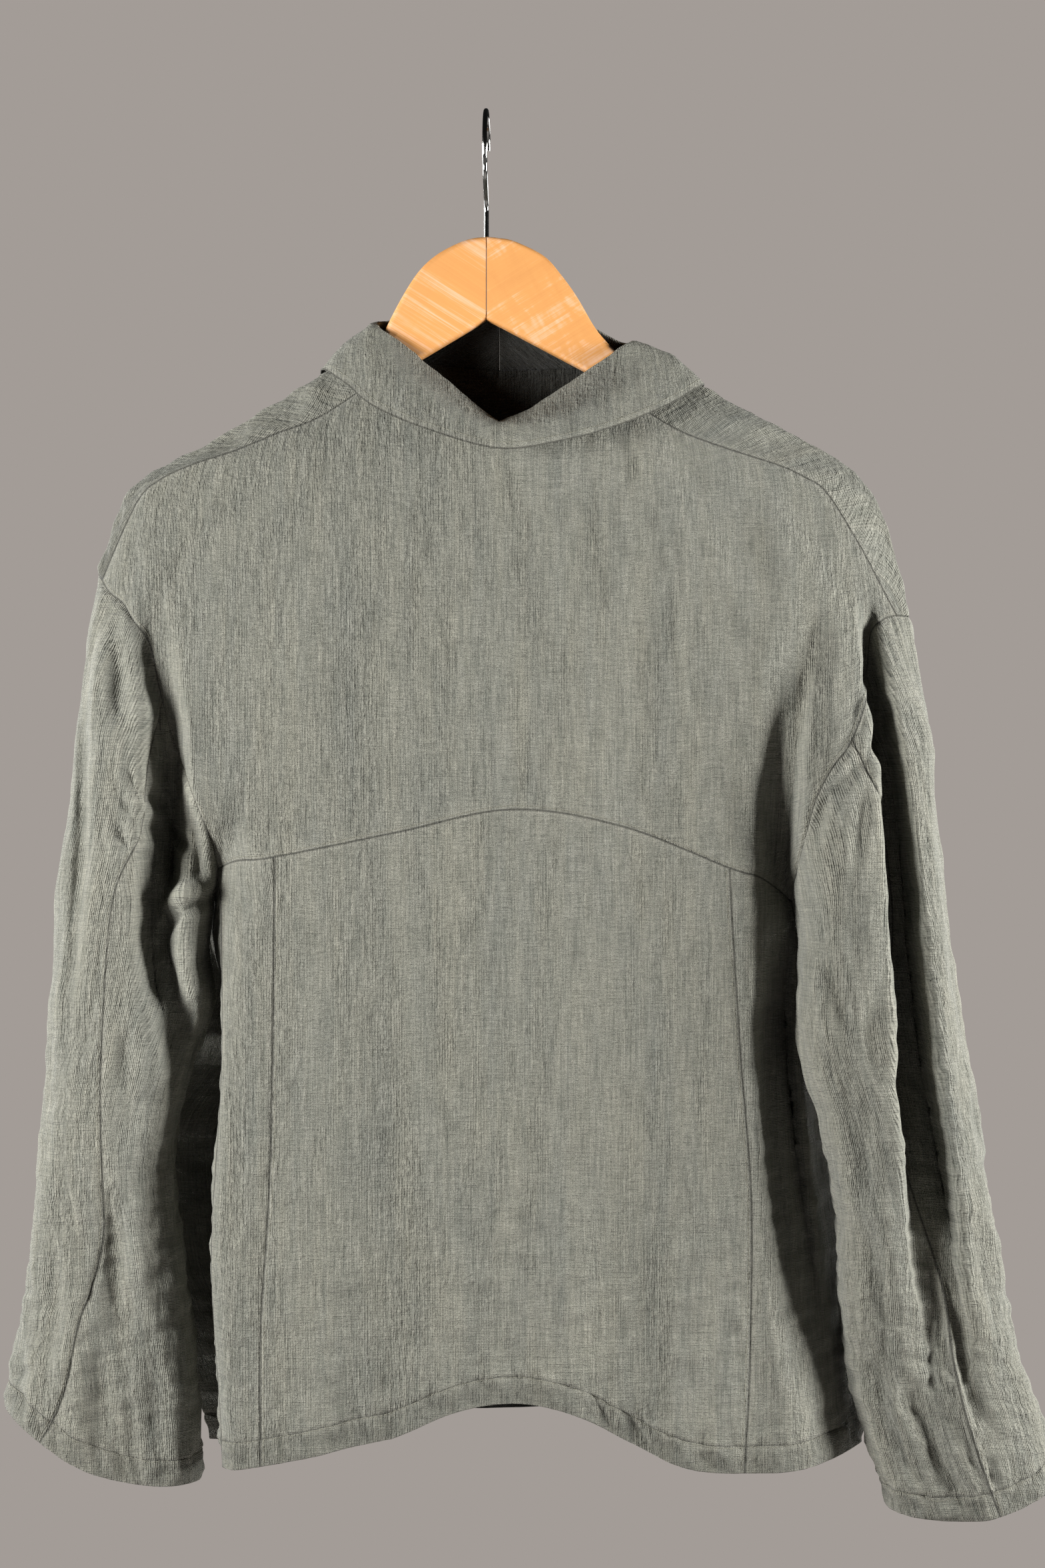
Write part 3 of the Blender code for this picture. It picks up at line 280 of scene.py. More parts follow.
def body(u, z):
    """Points of the body tube: u counts round it, 0 left edge, 3 centre back, 7 right edge, 15 is 0 again."""
    u, z = np.broadcast_arrays(np.asarray(u, float), np.asarray(z, float))
    left, right = at_key(PANEL_SEAM_LEFT, z), at_key(PANEL_SEAM_RIGHT, z)
    front_right, front_left = at_key(FRONT_EDGE_RIGHT, z), at_key(FRONT_EDGE_LEFT, z)
    low = soft((-470 - z) / 330)
    back, front = [], []
    for share, extra in ((0.27, 3), (0.52, 4), (0.76, 3)):
        back.append(left + (right - left) * share)
        back[-1][..., 1] -= extra + 2 * low
    for share, deep in ((0.27, 1.0), (0.5, 1.06), (0.73, 1.02)):
        front.append(front_right + (front_left - front_right) * share)
        front[-1][..., 1] = FRONT_DEPTH * deep + 4 * low
    p = np.stack([at_key(BACK_EDGE_LEFT, z), left, *back, right,
                  at_key(BACK_TURN_RIGHT, z), at_key(SIDE_RIGHT, z), front_right, front_right + (-17, 9),
                  *front, front_left + (18, 5), front_left])
    x, y = np.moveaxis(between(p, u, True), -1, 0)
    # The side edges run straight in the upper part, and never bulge past the seam lower down
    sharp = soft((z + 570) / 70)
    for first, seam, edge, far, most in ((SIDE_SEAM, SIDE_SEAM, SIDE_SEAM, SIDE_SEAM + 1, np.minimum),
                                         (ROUND - 1, ROUND, 0, ROUND - 1, np.maximum)):
        share = np.abs(u - seam)
        straight = p[edge, ..., 0] * (1 - share) + p[far, ..., 0] * share
        inside = (u > first) & (u < first + 1)
        x = np.where(inside, straight * sharp + most(x, p[edge, ..., 0]) * (1 - sharp), x)
    return np.stack([x, y, z], -1)


def hung(top, bottom, left, right, s, t, load):
    """Grid hung between four border curves, each a function of share; its lines are at the shares s and t."""
    def filled(s, t):
        a, b, c, d = top(s), bottom(s), left(t), right(t)
        s, t = s[:, None, None], t[None, :, None]
        return (a[:, None] * (1 - t) + b[:, None] * t + c[None] * (1 - s) + d[None] * s
                - (1 - s) * (1 - t) * a[0] - s * (1 - t) * a[-1] - (1 - s) * t * b[0] - s * t * b[-1])
    across, down = 24, 16
    rough = filled(np.linspace(0, 1, across + 1), np.linspace(0, 1, down + 1))
    y = rough[..., 1].copy()
    for _ in range(SETTLING):
        y[1:-1, 1:-1] = (y[2:, 1:-1] + y[:-2, 1:-1] + y[1:-1, 2:] + y[1:-1, :-2]) / 4 + load
    p = filled(s, t)
    p[..., 1] += spline(spline(y - rough[..., 1], s * across).T, t * down).T
    return p


def armhole_front(side):
    """Front half of an armhole seam, from the shoulder to under the arm."""
    s = np.linspace(0, 1, 13)
    p = along(ARMHOLE[side], s)
    p[:, 0] -= np.sign(p[0, 0]) * 9 * np.sin(math.pi * s)
    p[:, 1] = p[0, 1] * (1 - s) + p[-1, 1] * s + 36 * np.sin(math.pi * s) ** 0.7
    return p


def down_armhole(side, front=False):
    """Function that runs down one half of an armhole from the seam on the shoulder."""
    rows = armhole_front(side) if front else ARMHOLE[side]
    first = SEAM_END[side] * (1.2 if front else 1)
    return lambda t: along(rows, first + (1 - first) * t)


def sleeve(side, turn, v):
    """Points of a sleeve: turn 0 outer edge, 0.5 inner edge by way of the back; v from armhole to cuff."""
    turn, v = np.broadcast_arrays(np.asarray(turn, float) % 1.0, np.asarray(v, float))
    back = turn <= 0.5
    s = np.where(back, turn * 2, 2 - turn * 2)
    share = (1 - np.cos(math.pi * s)) / 2
    rings = [np.where(back[..., None], along(ARMHOLE[side], s), along(armhole_front(side), s))]
    for out_x, out_z, in_x, in_z, out_y, in_y, deep, front, sag in SLEEVE[side]:
        bow = np.sin(math.pi * s) ** 0.72
        y = out_y + (in_y - out_y) * share + np.where(back, -deep, front) * bow
        z = out_z + (in_z - out_z) * share - sag * np.sin(math.pi * share) * np.where(back, 1, 0.5)
        rings.append(np.stack([out_x + (in_x - out_x) * share, y, z], -1))
    return between(np.stack(rings), v * (len(rings) - 1))


def pinned(p, start, end):
    """Curve moved so that its two ends lie on the given points."""
    s = np.linspace(0, 1, len(p))[:, None]
    return p + (start - p[0]) * (1 - s) + (end - p[-1]) * s


def shoulder_rows(side):
    """Lines along a shoulder, neck to armhole: seam, back of ridge, ridge, front of it, top of the front."""
    s, end, front = np.linspace(0, 1, SHOULDER + 1), SEAM_END[side], armhole_front(side)
    top, seam, ridge = along(RIDGE[side], s), SEAM_AT[side], RIDGE_AT[side]
    onward = 0.25 if side == "left" else -0.25
    lines = [along(SHOULDER_SEAM[side], s),
             *(top + move for move in ((0, -10, -3.5), (0, 0, 0), (0, 10, -3.5), (0, 12.5, -15)))]
    starts = [seam, (seam + ridge) / 2, ridge, ridge + onward, ridge + 2 * onward]
    stops = [*(along(ARMHOLE[side], share) for share in (end, end / 2, 0)),
             *(along(front, share) for share in (end * 0.6, end * 1.2))]
    return [pinned(line, spline(NECK_SEAM, start, True), stop)
            for line, start, stop in zip(lines, starts, stops)]


def around(s):
    """Place round the body of share s across the front, left side seam to right side seam."""
    return ROUND - (ROUND - SIDE_SEAM) * np.asarray(s)


def neck_front_places():
    """Ring places of the front half of the neck seam, left to right shoulder, parted at the centre."""
    gap = 0.009
    left = np.linspace(RIDGE_AT["left"] + 0.5, FRONT_CENTRE - gap, NECK_FRONT + 1)
    return np.concatenate([left, np.linspace(FRONT_CENTRE + gap, RIDGE_AT["right"] - 0.5, NECK_FRONT + 1)])


def collar_rings(t):
    """Rings of the collar: neck seam, inside of the fold, fold, outside of the fold, roll, free edge."""
    rings = (NECK_SEAM, COLLAR_FOLD, COLLAR_ROLL, COLLAR_EDGE)
    seam, fold, roll, edge = [spline(rows, t, True) for rows in rings]
    # Near the nape the fold runs straight between the rows of its table
    corners, before = np.array(COLLAR_FOLD, float), np.floor(t).astype(int)
    share, half = (t - before)[:, None], RING // 2
    straight = corners[before % RING] * (1 - share) + corners[(before + 1) % RING] * share
    fold = fold + (straight - fold) * np.exp(-((t + half) % RING - half) ** 2 / 0.8)[:, None]
    stand, leaf = unit(seam - fold), unit(roll - fold)
    away = unit(stand + leaf)
    side = unit(leaf - away * (leaf * away).sum(1, keepdims=True))
    down, out = fold + away * FOLD_DOWN, side * FOLD_OUT
    return seam, down - out, fold, down + out, roll, edge


def noise(x, y, seed):
    """Smooth gradient noise between about -0.7 and 0.7, the same on each run."""
    ix, iy = np.floor(x).astype(np.int64), np.floor(y).astype(np.int64)
    fx, fy = x - ix, y - iy
    total = np.zeros(np.broadcast(x, y).shape)
    for ox in (0, 1):
        for oy in (0, 1):
            h = ((ix + ox) * 374761393 + (iy + oy) * 668265263 + seed * 974711) & 0xFFFFFFFF
            h = ((h ^ (h >> 13)) * 1274126177) & 0xFFFFFFFF
            angle = ((h ^ (h >> 16)) & 0xFFFF) / 65536 * 2 * math.pi
            wx, wy = fx if ox else 1 - fx, fy if oy else 1 - fy
            weight = wx**3 * (wx * (wx * 6 - 15) + 10) * wy**3 * (wy * (wy * 6 - 15) + 10)
            total += weight * (np.cos(angle) * (fx - ox) + np.sin(angle) * (fy - oy))
    return total


def upper_back_grid():
    """Grid of the back above the arched seam."""
    places = np.linspace(RING + SEAM_AT["left"], SEAM_AT["right"], 2 * SHOULDER + 1) % RING
    top = np.concatenate([shoulder_rows("left")[0][::-1], spline(NECK_SEAM, places, True)[1:-1],
                          shoulder_rows("right")[0]])
    u = np.concatenate([np.linspace(0, 1, 5), np.linspace(1, 5, 17)[1:], np.linspace(5, SIDE_SEAM, 9)[1:]])
    place = lambda s: np.interp(s, np.linspace(0, 1, len(u)), u)
    return hung(lambda s: at_run(s * (len(top) - 1), np.arange(len(top)), top),
                lambda s: body(place(s), at_key(ARCH_SEAM, place(s))),
                down_armhole("left"), down_armhole("right"),
                np.linspace(0, 1, BACK_CELLS + 1), np.linspace(0, 1, BACK_ROWS + 1), -0.02)


def back_panel_grid(u0, u1, cells):
    """Grid of one panel under the arched seam."""
    u, v = np.meshgrid(np.linspace(u0, u1, cells + 1), np.linspace(0, 1, SKIRT_ROWS + 1), indexing="ij")
    return body(u, at_key(ARCH_SEAM, u) * (1 - v) + at_key(HEM_LINE, u) * v)


def front_grid():
    """Grid of the front over shoulders, chest and body, and the cells that stay beside neck and slit."""
    left, right = shoulder_rows("left"), shoulder_rows("right")
    neck = spline(NECK_SEAM, neck_front_places(), True)
    over = np.stack([np.concatenate([a[::-1], neck[1:-1], b]) for a, b in zip(left, right)])
    top = over[-1]
    share = arcs(top) / arcs(top)[-1]
    chest = hung(lambda s: at_run(s, share, top),
                 lambda s: body(around(s), at_key(FRONT_START, around(s))),
                 down_armhole("left", True), down_armhole("right", True),
                 share, np.linspace(0, 1, CHEST_ROWS + 1), 0.05)
    u = around(share)[:, None]
    v = np.linspace(0, 1, SKIRT_ROWS + 1)[None, 1:]
    skirt = body(u, at_key(FRONT_START, u) * (1 - v) + at_key(HEM_LINE, u) * v)
    over = spline(over, np.linspace(0, len(over) - 1, OVER_ROWS + 1)).transpose(1, 0, 2)[:, :-1]
    p = np.concatenate([over, chest, skirt], 1)
    edge, slit_end = SHOULDER + NECK_FRONT, OVER_ROWS + int(round(CHEST_ROWS * SLIT))
    keep = np.ones((p.shape[0] - 1, p.shape[1] - 1), bool)
    keep[SHOULDER:-SHOULDER, :OVER_ROWS] = False
    keep[edge, :slit_end] = False
    slit = p[edge:edge + 2, OVER_ROWS:slit_end + 1]
    slit[:] = slit.mean(axis=0) + (slit - slit.mean(axis=0)) * 0.3
    return eased(p, OVER_ROWS + CHEST_ROWS), keep


def eased(p, row, reach=75.0):
    """Grid with the turn across one row made smooth, its border left where it is."""
    run = arcs(p, 1)
    run = run - run[:, row:row + 1]
    share = np.linspace(0, 1, len(p))
    hold = soft(np.minimum(share, 1 - share) / 0.12)
    q = p.copy()
    for i in range(len(p)):
        ends = [np.interp(d, run[i], p[i, :, 1]) for d in (-reach, -reach + 4, reach - 4, reach)]
        f = np.clip((run[i] + reach) / (2 * reach), 0, 1)
        first, last = ((ends[k + 1] - ends[k]) / 4 * 2 * reach for k in (0, 2))
        y = ((2 * f**3 - 3 * f**2 + 1) * ends[0] + (f**3 - 2 * f**2 + f) * first
             + (3 * f**2 - 2 * f**3) * ends[3] + (f**3 - f**2) * last)
        inside = np.abs(run[i]) < reach
        q[i, inside, 1] += (y - p[i, :, 1])[inside] * 0.8 * hold[i]
    return q


def sleeve_grid(side, under):
    """Grid of the upper or under piece of one sleeve, and where across it the straight grain runs."""
    v = np.linspace(0, 1, SLEEVE_ROWS + 1)
    seam, hidden = at_key(BACK_SEAM[side], v), np.full(len(v), UNDER_SEAM)
    start, stop, axis, cells = (seam, hidden, 0.4, 90) if under else (hidden, 1 + seam, 1.0, 120)
    turn = start + (stop - start) * np.linspace(0, 1, cells + 1)[:, None]
    return sleeve(side, turn, v[None]), (axis - start) / (stop - start)


def collar_grids():
    """Grids of the inner band and the outer leaf of the collar."""
    front = neck_front_places()
    (ridge, seam), (ridge_left, seam_left) = ((RIDGE_AT[side], SEAM_AT[side]) for side in ("right", "left"))
    right = [ridge - 0.25, ridge, (ridge + seam) / 2]
    left = RING + np.array([(ridge_left + seam_left) / 2, ridge_left, ridge_left + 0.25])
    back = np.linspace(seam, RING + seam_left, NECK_BACK + 1)
    knots = np.concatenate([front[NECK_FRONT + 1:], right, back, left, RING + front[:NECK_FRONT + 1]])
    knots[0], knots[-1] = FRONT_CENTRE + 0.006, FRONT_CENTRE + RING - 0.006
    places = np.interp(np.linspace(0, 1, COLLAR_CELLS + 1), np.linspace(0, 1, len(knots)), knots)
    seam, inner, fold, outer, roll, edge = collar_rings(places)
    v = np.linspace(0, 1, 13)[None, :, None]
    stand = seam[:, None] * (1 - v) + inner[:, None] * v
    bend = spline(np.stack([inner, fold, outer]), np.linspace(0, 2, 9))
    leaf = spline(np.stack([outer, roll, edge]), np.linspace(0, 2, 19))[1:]
    return stand, np.concatenate([bend, leaf]).transpose(1, 0, 2)


# Finish of a side of a piece: a sewn or plain edge, or a turned-up hem. The extra grid lines near it, and how
# far the pull of its stitches reaches into the cloth
SEAM, HEM = "seam", "hem"
SIDE_LINES = {
    SEAM: (0.8, 1.7),
    HEM: (0.8, 2.2, 4.2, 6.4, 8.6, 10.8, 12.8, 14.2, 15.3, 16.0, 16.5, 17.0, 18.0, 19.2, 21.0, 23.0)}
PULL_REACH = {SEAM: 15, HEM: 26}


def way_in(side):
    """Axis of a grid and the direction that runs in from one of its sides."""
    return "uv".index(side[0]), slice(None, None, -1 if side[1] == "1" else 1)


def edge_lines(p, keep, sides):
    """Grid with extra lines close to its named sides, where seams and the stitches of a hem need them."""
    for side, (kind, *_) in sides.items():
        axis, way = way_in(side)
        q, k = p.swapaxes(0, axis)[way], keep.swapaxes(0, axis)[way]
        run, stops = arcs(q), np.array(SIDE_LINES[kind])
        drop = int(np.argmax(run.min(axis=1) > stops[-1])) if kind == HEM else 1
        far = np.minimum(1.0, run[drop] / (stops[-1] + 1.5))
        new = np.stack([at_run(stops * far[m], run[:, m], q[:, m]) for m in range(q.shape[1])], 1)
        q = np.concatenate([q[:1], new, q[drop:]])
        k = np.concatenate([np.repeat(k[:1], len(stops), 0), k[drop - 1:]])
        p, keep = q[way].swapaxes(0, axis), k[way].swapaxes(0, axis)
    return p, keep


def grid_normals(p, flip):
    """Unit normals of a grid, outwards."""
    n = unit(np.cross(np.gradient(p, axis=0), np.gradient(p, axis=1)))
    return -n if flip else n


# Creases listed one by one: rows of depth (a ridge is negative), half width, then the path as place, height
CREASES_BACK = [
    (-2.8, 5, -205, -516, -197, -499, -186, -489, -172, -485),
    (2.6, 4, -203, -524, -195, -509, -185, -499, -173, -494), (-1.8, 5, -190, -520, -186, -538, -180, -556),
    (-2.4, 8, 288, -642, 302, -684, 316, -726, 330, -780, 344, -838),
    (4.2, 13, 262, -680, 270, -712, 284, -756, 300, -802, 316, -850),
    (3.6, 9, 228, -752, 238, -772, 252, -796, 266, -816),
    (-2.4, 8, -214, -560, -206, -600, -214, -640, -232, -676),
    (2.2, 6, -239, -305, -243, -330, -246, -364, -248, -390, -250, -455, -253, -545),
    (3.7, 7, -232, -318, -228, -345, -226, -372, -222, -400), (3.1, 6, -214, -322, -212, -345, -208, -370),
    (2.7, 4, -222, -410, -216, -424, -205, -436), (2.5, 4, -226, -424, -219, -440, -208, -452),
    (2.4, 4, -228, -440, -222, -456, -212, -470), (3.4, 9, -238, -668, -229, -712, -224, -780),
    (2.2, 9, -262, -640, -256, -700, -258, -760), (1.3, 6, -214, -560, -222, -590, -234, -618),
    (1.5, 6, -200, -602, -212, -622, -228, -640), (2.5, 5, -196, -640, -204, -668, -208, -700),
    (3.1, 7, -270, -690, -268, -740, -274, -790), (2.2, 8, -244, -770, -240, -805, -234, -840),
    (3.4, 6, -208, -760, -206, -800, -202, -845), (2.4, 6, -282, -720, -284, -760, -290, -800),
    (-1.4, 8, -204, -540, -203, -570, -199, -600), (1.6, 5, -196, -536, -192, -560, -196, -590),
    (2.4, 4, -200, -446, -190, -458, -180, -466), (2.7, 5, 240, -345, 232, -368, 222, -386),
    (2.5, 5, 236, -372, 226, -392, 214, -404), (2.7, 5, 250, -372, 240, -398, 226, -414),
    (2.4, 4, 226, -412, 214, -428, 204, -452), (2.2, 4, 212, -418, 206, -436, 202, -462),
    (2.0, 4, 232, -425, 229, -452, 226, -480), (2.7, 6, 206, -520, 214, -548, 222, -585),
    (3.1, 7, 222, -600, 228, -640, 236, -676), (-2.7, 7, 243, -560, 246, -610, 250, -650),
    (4.4, 8, 236, -700, 244, -740, 250, -790), (3.0, 8, 256, -700, 266, -748, 272, -790),
    (1.8, 8, 282, -720, 292, -770, 300, -820), (1.2, 8, 300, -690, 312, -740, 326, -800),
    (3.7, 7, 232, -776, 246, -806, 262, -846), (3.1, 6, 296, -822, 308, -848, 318, -872),
    (3.1, 6, 262, -800, 276, -830, 288, -862), (3.1, 6, 288, -480, 292, -540, 298, -600),
    (2.7, 6, 280, -400, 284, -450, 290, -500), (2.4, 5, 310, -640, 318, -690, 328, -740),
    (1.4, 10, -92, -214, -128, -250, -168, -300), (1.9, 9, -150, -232, -178, -262, -200, -300),
    (1.4, 10, 118, -224, 150, -262, 180, -310), (2.0, 9, 176, -240, 204, -268, 226, -306),
    (1.2, 12, 40, -220, 56, -270, 60, -330), (1.2, 12, -30, -222, -44, -280, -50, -350),
    (2.0, 9, -165, -330, -172, -372, -176, -410), (2.4, 8, 206, -318, 204, -350, 196, -385),
    (2.4, 7, 182, -386, 176, -420, 174, -462), (1.4, 7, -150, -420, -156, -446, -160, -470),
    (1.4, 12, -100, -500, -96, -580, -104, -680, -98, -790), (1.0, 12, -40, -470, -36, -560, -30, -650),
    (1.2, 12, 60, -480, 66, -560, 58, -650, 64, -740), (1.4, 10, 118, -500, 124, -600, 120, -720),
    (1.5, 6, -152, -560, -154, -640, -158, -730), (2.1, 6, 170, -560, 178, -640, 190, -740)]
CREASES_FRONT = [
    (2.7, 8, -210, -330, -216, -400, -222, -480), (2.7, 7, -190, -360, -186, -410, -176, -450),
    (3.1, 8, -236, -420, -246, -500, -252, -580), (3.4, 8, -264, -600, -262, -680, -270, -760),
    (3.1, 6, -222, -600, -214, -640, -202, -664), (3.4, 8, -214, -680, -220, -740, -214, -820),
    (3.1, 7, -240, -740, -246, -790, -244, -850), (2.7, 8, 238, -350, 244, -420, 250, -500),
    (2.7, 7, 214, -386, 208, -430, 198, -470), (3.1, 8, 262, -460, 274, -540, 282, -620),
    (3.1, 6, 236, -600, 240, -650, 232, -690), (3.4, 8, 256, -700, 262, -760, 272, -840),
    (3.1, 8, 300, -700, 314, -780, 330, -850), (1.7, 10, -60, -230, -90, -300, -130, -380),
    (1.7, 10, 70, -230, 100, -300, 140, -370), (1.8, 9, -130, -300, -160, -360, -168, -420),
    (1.8, 9, 150, -300, 184, -360, 194, -430), (1.8, 12, -60, -420, -54, -560, -60, -700),
    (1.8, 12, 60, -440, 66, -560, 60, -720), (2.4, 10, -140, -520, -148, -620, -142, -760),
    (2.4, 10, 150, -540, 164, -660, 172, -790)]


def crease_depth(p, creases):
    """Depth of the listed creases at the points p, fading to their ends."""
    total, flat, steps = np.zeros(p.shape[:-1]), p[..., [0, 2]], 12
    for deep, wide, *path in creases:
        path = np.reshape(path, (-1, 2))
        q = spline(path, np.linspace(0, len(path) - 1, steps + 1))
        near = ((flat > q.min(0) - 3 * wide) & (flat < q.max(0) + 3 * wide)).all(-1)
        w = flat[near]
        best, where = np.full(len(w), 1e9), np.zeros(len(w))
        for k in range(steps):
            d = q[k + 1] - q[k]
            f = np.clip(((w - q[k]) @ d) / (d @ d), 0, 1)
            off = np.linalg.norm(w - q[k] - f[:, None] * d, axis=1)
            closer = off < best
            best, where = np.where(closer, off, best), np.where(closer, (k + f) / steps, where)
        fade = np.sin(math.pi * np.clip(where, 0.04, 0.96)) ** 0.6
        hollow = np.exp(-(best / wide) ** 2) - 0.35 * np.exp(-((best - 1.7 * wide) / (0.8 * wide)) ** 2)
        total[near] += deep * fade * hollow
    return total


class Cloth:
    """One piece of linen: a fine grid that is creased, puckered at its seams and given its thickness.

    Sides holds the finish and pull of each side, and may add how far the pull reaches and how it slants.
    """

    def __init__(self, name, grid, flip, sides, crumple, seed, grain=None, keep=None):
        keep = np.ones((grid.shape[0] - 1, grid.shape[1] - 1), bool) if keep is None else keep
        grid, self.keep = edge_lines(grid, keep, sides)
        self.name, self.flip = name, flip
        # Flat run of the threads: u across the cloth and v down it
        level, plumb = arcs(grid[..., :2], 0), arcs(grid[..., 1:], 1)
        if grain is None:
            middle = len(grid) // 2
            self.u, self.v = grid[middle, :, 0] + level - level[middle], plumb - grid[:, :1, 2]
        else:
            axis = np.interp(np.linspace(0, 1, grid.shape[1]), np.linspace(0, 1, len(grain)), grain)
            share = np.linspace(0, 1, len(grid))
            start = [np.interp(at, share, level[:, j]) for j, at in enumerate(axis)]
            self.u, self.v = level - start, -grid[..., 2]
        p = folded(grid)
        flat_u, flat_v = arcs(p, 0), arcs(p, 1)
        rise = self.crumple(crumple, grain is not None, seed)
        far = {"u0": flat_u, "u1": flat_u[-1:] - flat_u, "v0": flat_v, "v1": flat_v[:, -1:] - flat_v}
        self.near, self.thick, self.hidden = (np.full(p.shape[:2], value) for value in (99.0, CLOTH / 2, 0.0))
        for k, (side, (kind, pull, *wide)) in enumerate(sides.items()):
            d, run = far[side], flat_v if side[0] == "u" else flat_u
            reach, slant = wide or (PULL_REACH[kind], 0.6)
            pulled = run + slant * d + 4 * noise(run / 40, d / 30, seed + 50)
            scale = 8 + 0.25 * reach
            wave = noise(pulled / scale, d / 55, seed + 11 * k + 3)
            wave = wave + 0.35 * noise(pulled / (0.6 * scale), d / 30, seed + 11 * k + 4)
            fade = np.exp(-(d / reach) ** 1.3) * soft(d / (0.2 * reach) + 0.12)
            rise = rise + np.maximum(pull * 1.9 * wave, -1.2) * fade
            if kind == HEM:
                turned, row, twisted = 1 - soft((d - HEM_DEEP) / 1.6), d - HEM_STITCH, run + 0.9 * d
                self.thick += 0.4 * turned
                # Painted shade: the turned-up hem band is painted darker
                self.hidden += 0.20 * turned
                rise = rise - 1.0 * np.exp(-(row / 1.4) ** 2)
                # Painted shade: a dark line along the hem's stitch row, and the paler rubbed colour at its
                # folded edge
                self.near = np.minimum(self.near, np.minimum(np.abs(row) + 0.4, d + 1.2))
                twist = noise(twisted / 8, d / 16, seed + 71) + 0.5 * noise(twisted / 5, d / 9, seed + 72)
                rise = rise + 1.2 * pull * twist * (1 - soft((d - HEM_DEEP) / 8))
            else:
                rise = rise - 0.25 * np.exp(-(d / 0.8) ** 2) + 0.12 * np.exp(-((d - 2.6) / 1.8) ** 2)
                # Distance from the seam, for the dark line of painted shade in its groove and the paler
                # rubbed edge beside it
                self.near = np.minimum(self.near, d)
        back, front = halves(grid)
        rise = rise - crease_depth(p, CREASES_BACK) * back - crease_depth(p, CREASES_FRONT) * front
        rise = rise * np.prod([soft(far[side] / 6 + 0.12) for side in sides], axis=0)
        # Cloth that lies on the hanger can't sink into the wood
        on_wood = (np.abs(p[..., 1]) < WOOD) & (p[..., 2] > WOOD_LOW)
        rise = np.where(on_wood, np.maximum(rise, -0.5), rise)
        self.points = p + grid_normals(p, flip) * rise[..., None]
        self.normals = grid_normals(self.points, flip)

    def crumple(self, amount, sleeve, seed):
        """Height of the soft uneven crumple that washing leaves, longer down the cloth than across it."""
        u, v = self.u, self.v
        bend = 14 * noise(u / 90, v / 120, seed + 7)
        bent = u + bend
        rise = 1.8 * noise(bent / 38, v / 190, seed) + 1.2 * noise(bent / 15, v / 75, seed + 1)
        ridge = 1 - 2.2 * np.abs(noise(bent / 24, (v - bend) / 46, seed + 2))
        rise += ridge + 0.6 * noise(u / 8, v / 20, seed + 3) + 0.3 * noise(u / 5, v / 11, seed + 4)
        across = 2.4 * noise(bent / 34, (v + 0.2 * u) / 9, seed + 8) + 1.2 * noise(u / 17, v / 26, seed + 10)
        rise += soft((v - 520) / 200) * across
        if sleeve:
            rise += 2.6 * noise((u + 0.25 * v + bend) / 24, v / 120, seed + 5)
            rise += 1.6 * (0.5 - 1.6 * np.abs(noise((u - 0.15 * v + bend) / 19, v / 80, seed + 9)))
            cross = noise(bent / 60, (v + 0.5 * u) / 17, seed + 6)
            rise += 1.3 * cross * (0.15 + 0.85 * np.exp(-((v - 580) / 90) ** 2))
        return amount * rise

    def face(self, side, lift=0.0):
        """Points of the outside (1) or inside (-1) face, moved out a little by the lift."""
        return self.points + self.normals * (side * self.thick + lift)[..., None]


def add_object(name, data):
    """New object in the scene with the given data."""
    obj = bpy.data.objects.new(name, data)
    bpy.context.scene.collection.objects.link(obj)
    return obj


def add_mesh(name, points, faces, material):
    """New smooth object of one material from points in millimetres and faces."""
    mesh = bpy.data.meshes.new(name)
    mesh.from_pydata(points * MM, [], faces)
    mesh.polygons.foreach_set("use_smooth", np.ones(len(mesh.polygons), bool))
    mesh.materials.append(material)
    return add_object(name, mesh)


def build_cloth(cloth, material):
    """Closed shell of one piece of linen, with the flat run of its threads as UV map."""
    index = np.arange(cloth.u.size).reshape(cloth.u.shape)
    quads = np.stack([index[:-1, :-1], index[1:, :-1], index[1:, 1:], index[:-1, 1:]], -1)[cloth.keep]
    quads = quads[:, ::-1] if cloth.flip else quads
    used, inverse = np.unique(quads, return_inverse=True)
    quads = inverse.reshape(quads.shape)
    n = len(used)
    outer, inner = (cloth.face(side).reshape(-1, 3)[used] for side in (1, -1))
    middle = (outer + inner) / 2
    # The rim runs round the outline and has a rounded edge between the two faces
    edges = {tuple(edge) for k in range(4) for edge in quads[:, [k, (k + 1) % 4]].tolist()}
    a, b = np.array(sorted(edge for edge in edges if edge[::-1] not in edges)).T
    out = np.zeros((n, 3))
    for end in (a, b):
        np.add.at(out, end, np.cross(middle[b] - middle[a], (outer - inner)[end]))
    rims = np.unique([a, b])
    slot = np.full(n, -1)
    slot[rims] = 2 * n + np.arange(len(rims))
    strip = np.stack([b, a, slot[a], slot[b], slot[b], slot[a], a + n, b + n], -1).reshape(-1, 4)
    points = np.concatenate([outer, inner, middle[rims] + unit(out[rims]) * RIM])
    faces = np.concatenate([quads, quads[:, ::-1] + n, strip]).tolist()
    obj = add_mesh(f"{cloth.name}_linen", points, faces, material)
    mesh = obj.data
    flat, near, painted_shade = (value.reshape(index.size, -1)[used]
                         for value in (np.stack([cloth.u, -cloth.v], -1), cloth.near, cloth.hidden))
    corner = np.zeros(len(mesh.loops), np.int32)
    mesh.loops.foreach_get("vertex_index", corner)
    threads = (np.concatenate([flat, flat, flat[rims]]) * MM)[corner]
    mesh.uv_layers.new(name="threads").data.foreach_set("uv", threads.astype(np.float32).ravel())
    # Distance from the seams, for the rubbed edge and the painted shade in their grooves
    # Painted shade darkens each point by the inside attribute: the inside face fully, the rim partly, the hem
    # band and collar band as the pieces set
    for name, values in (("seam", [near, near, near[rims]]),
                         ("inside", [painted_shade, np.ones((n, 1)), np.full((len(rims), 1), 0.3)])):
        data = mesh.attributes.new(name, "FLOAT", "POINT").data
        data.foreach_set("value", np.concatenate(values).astype(np.float32).ravel())
    mesh.update()
    return obj


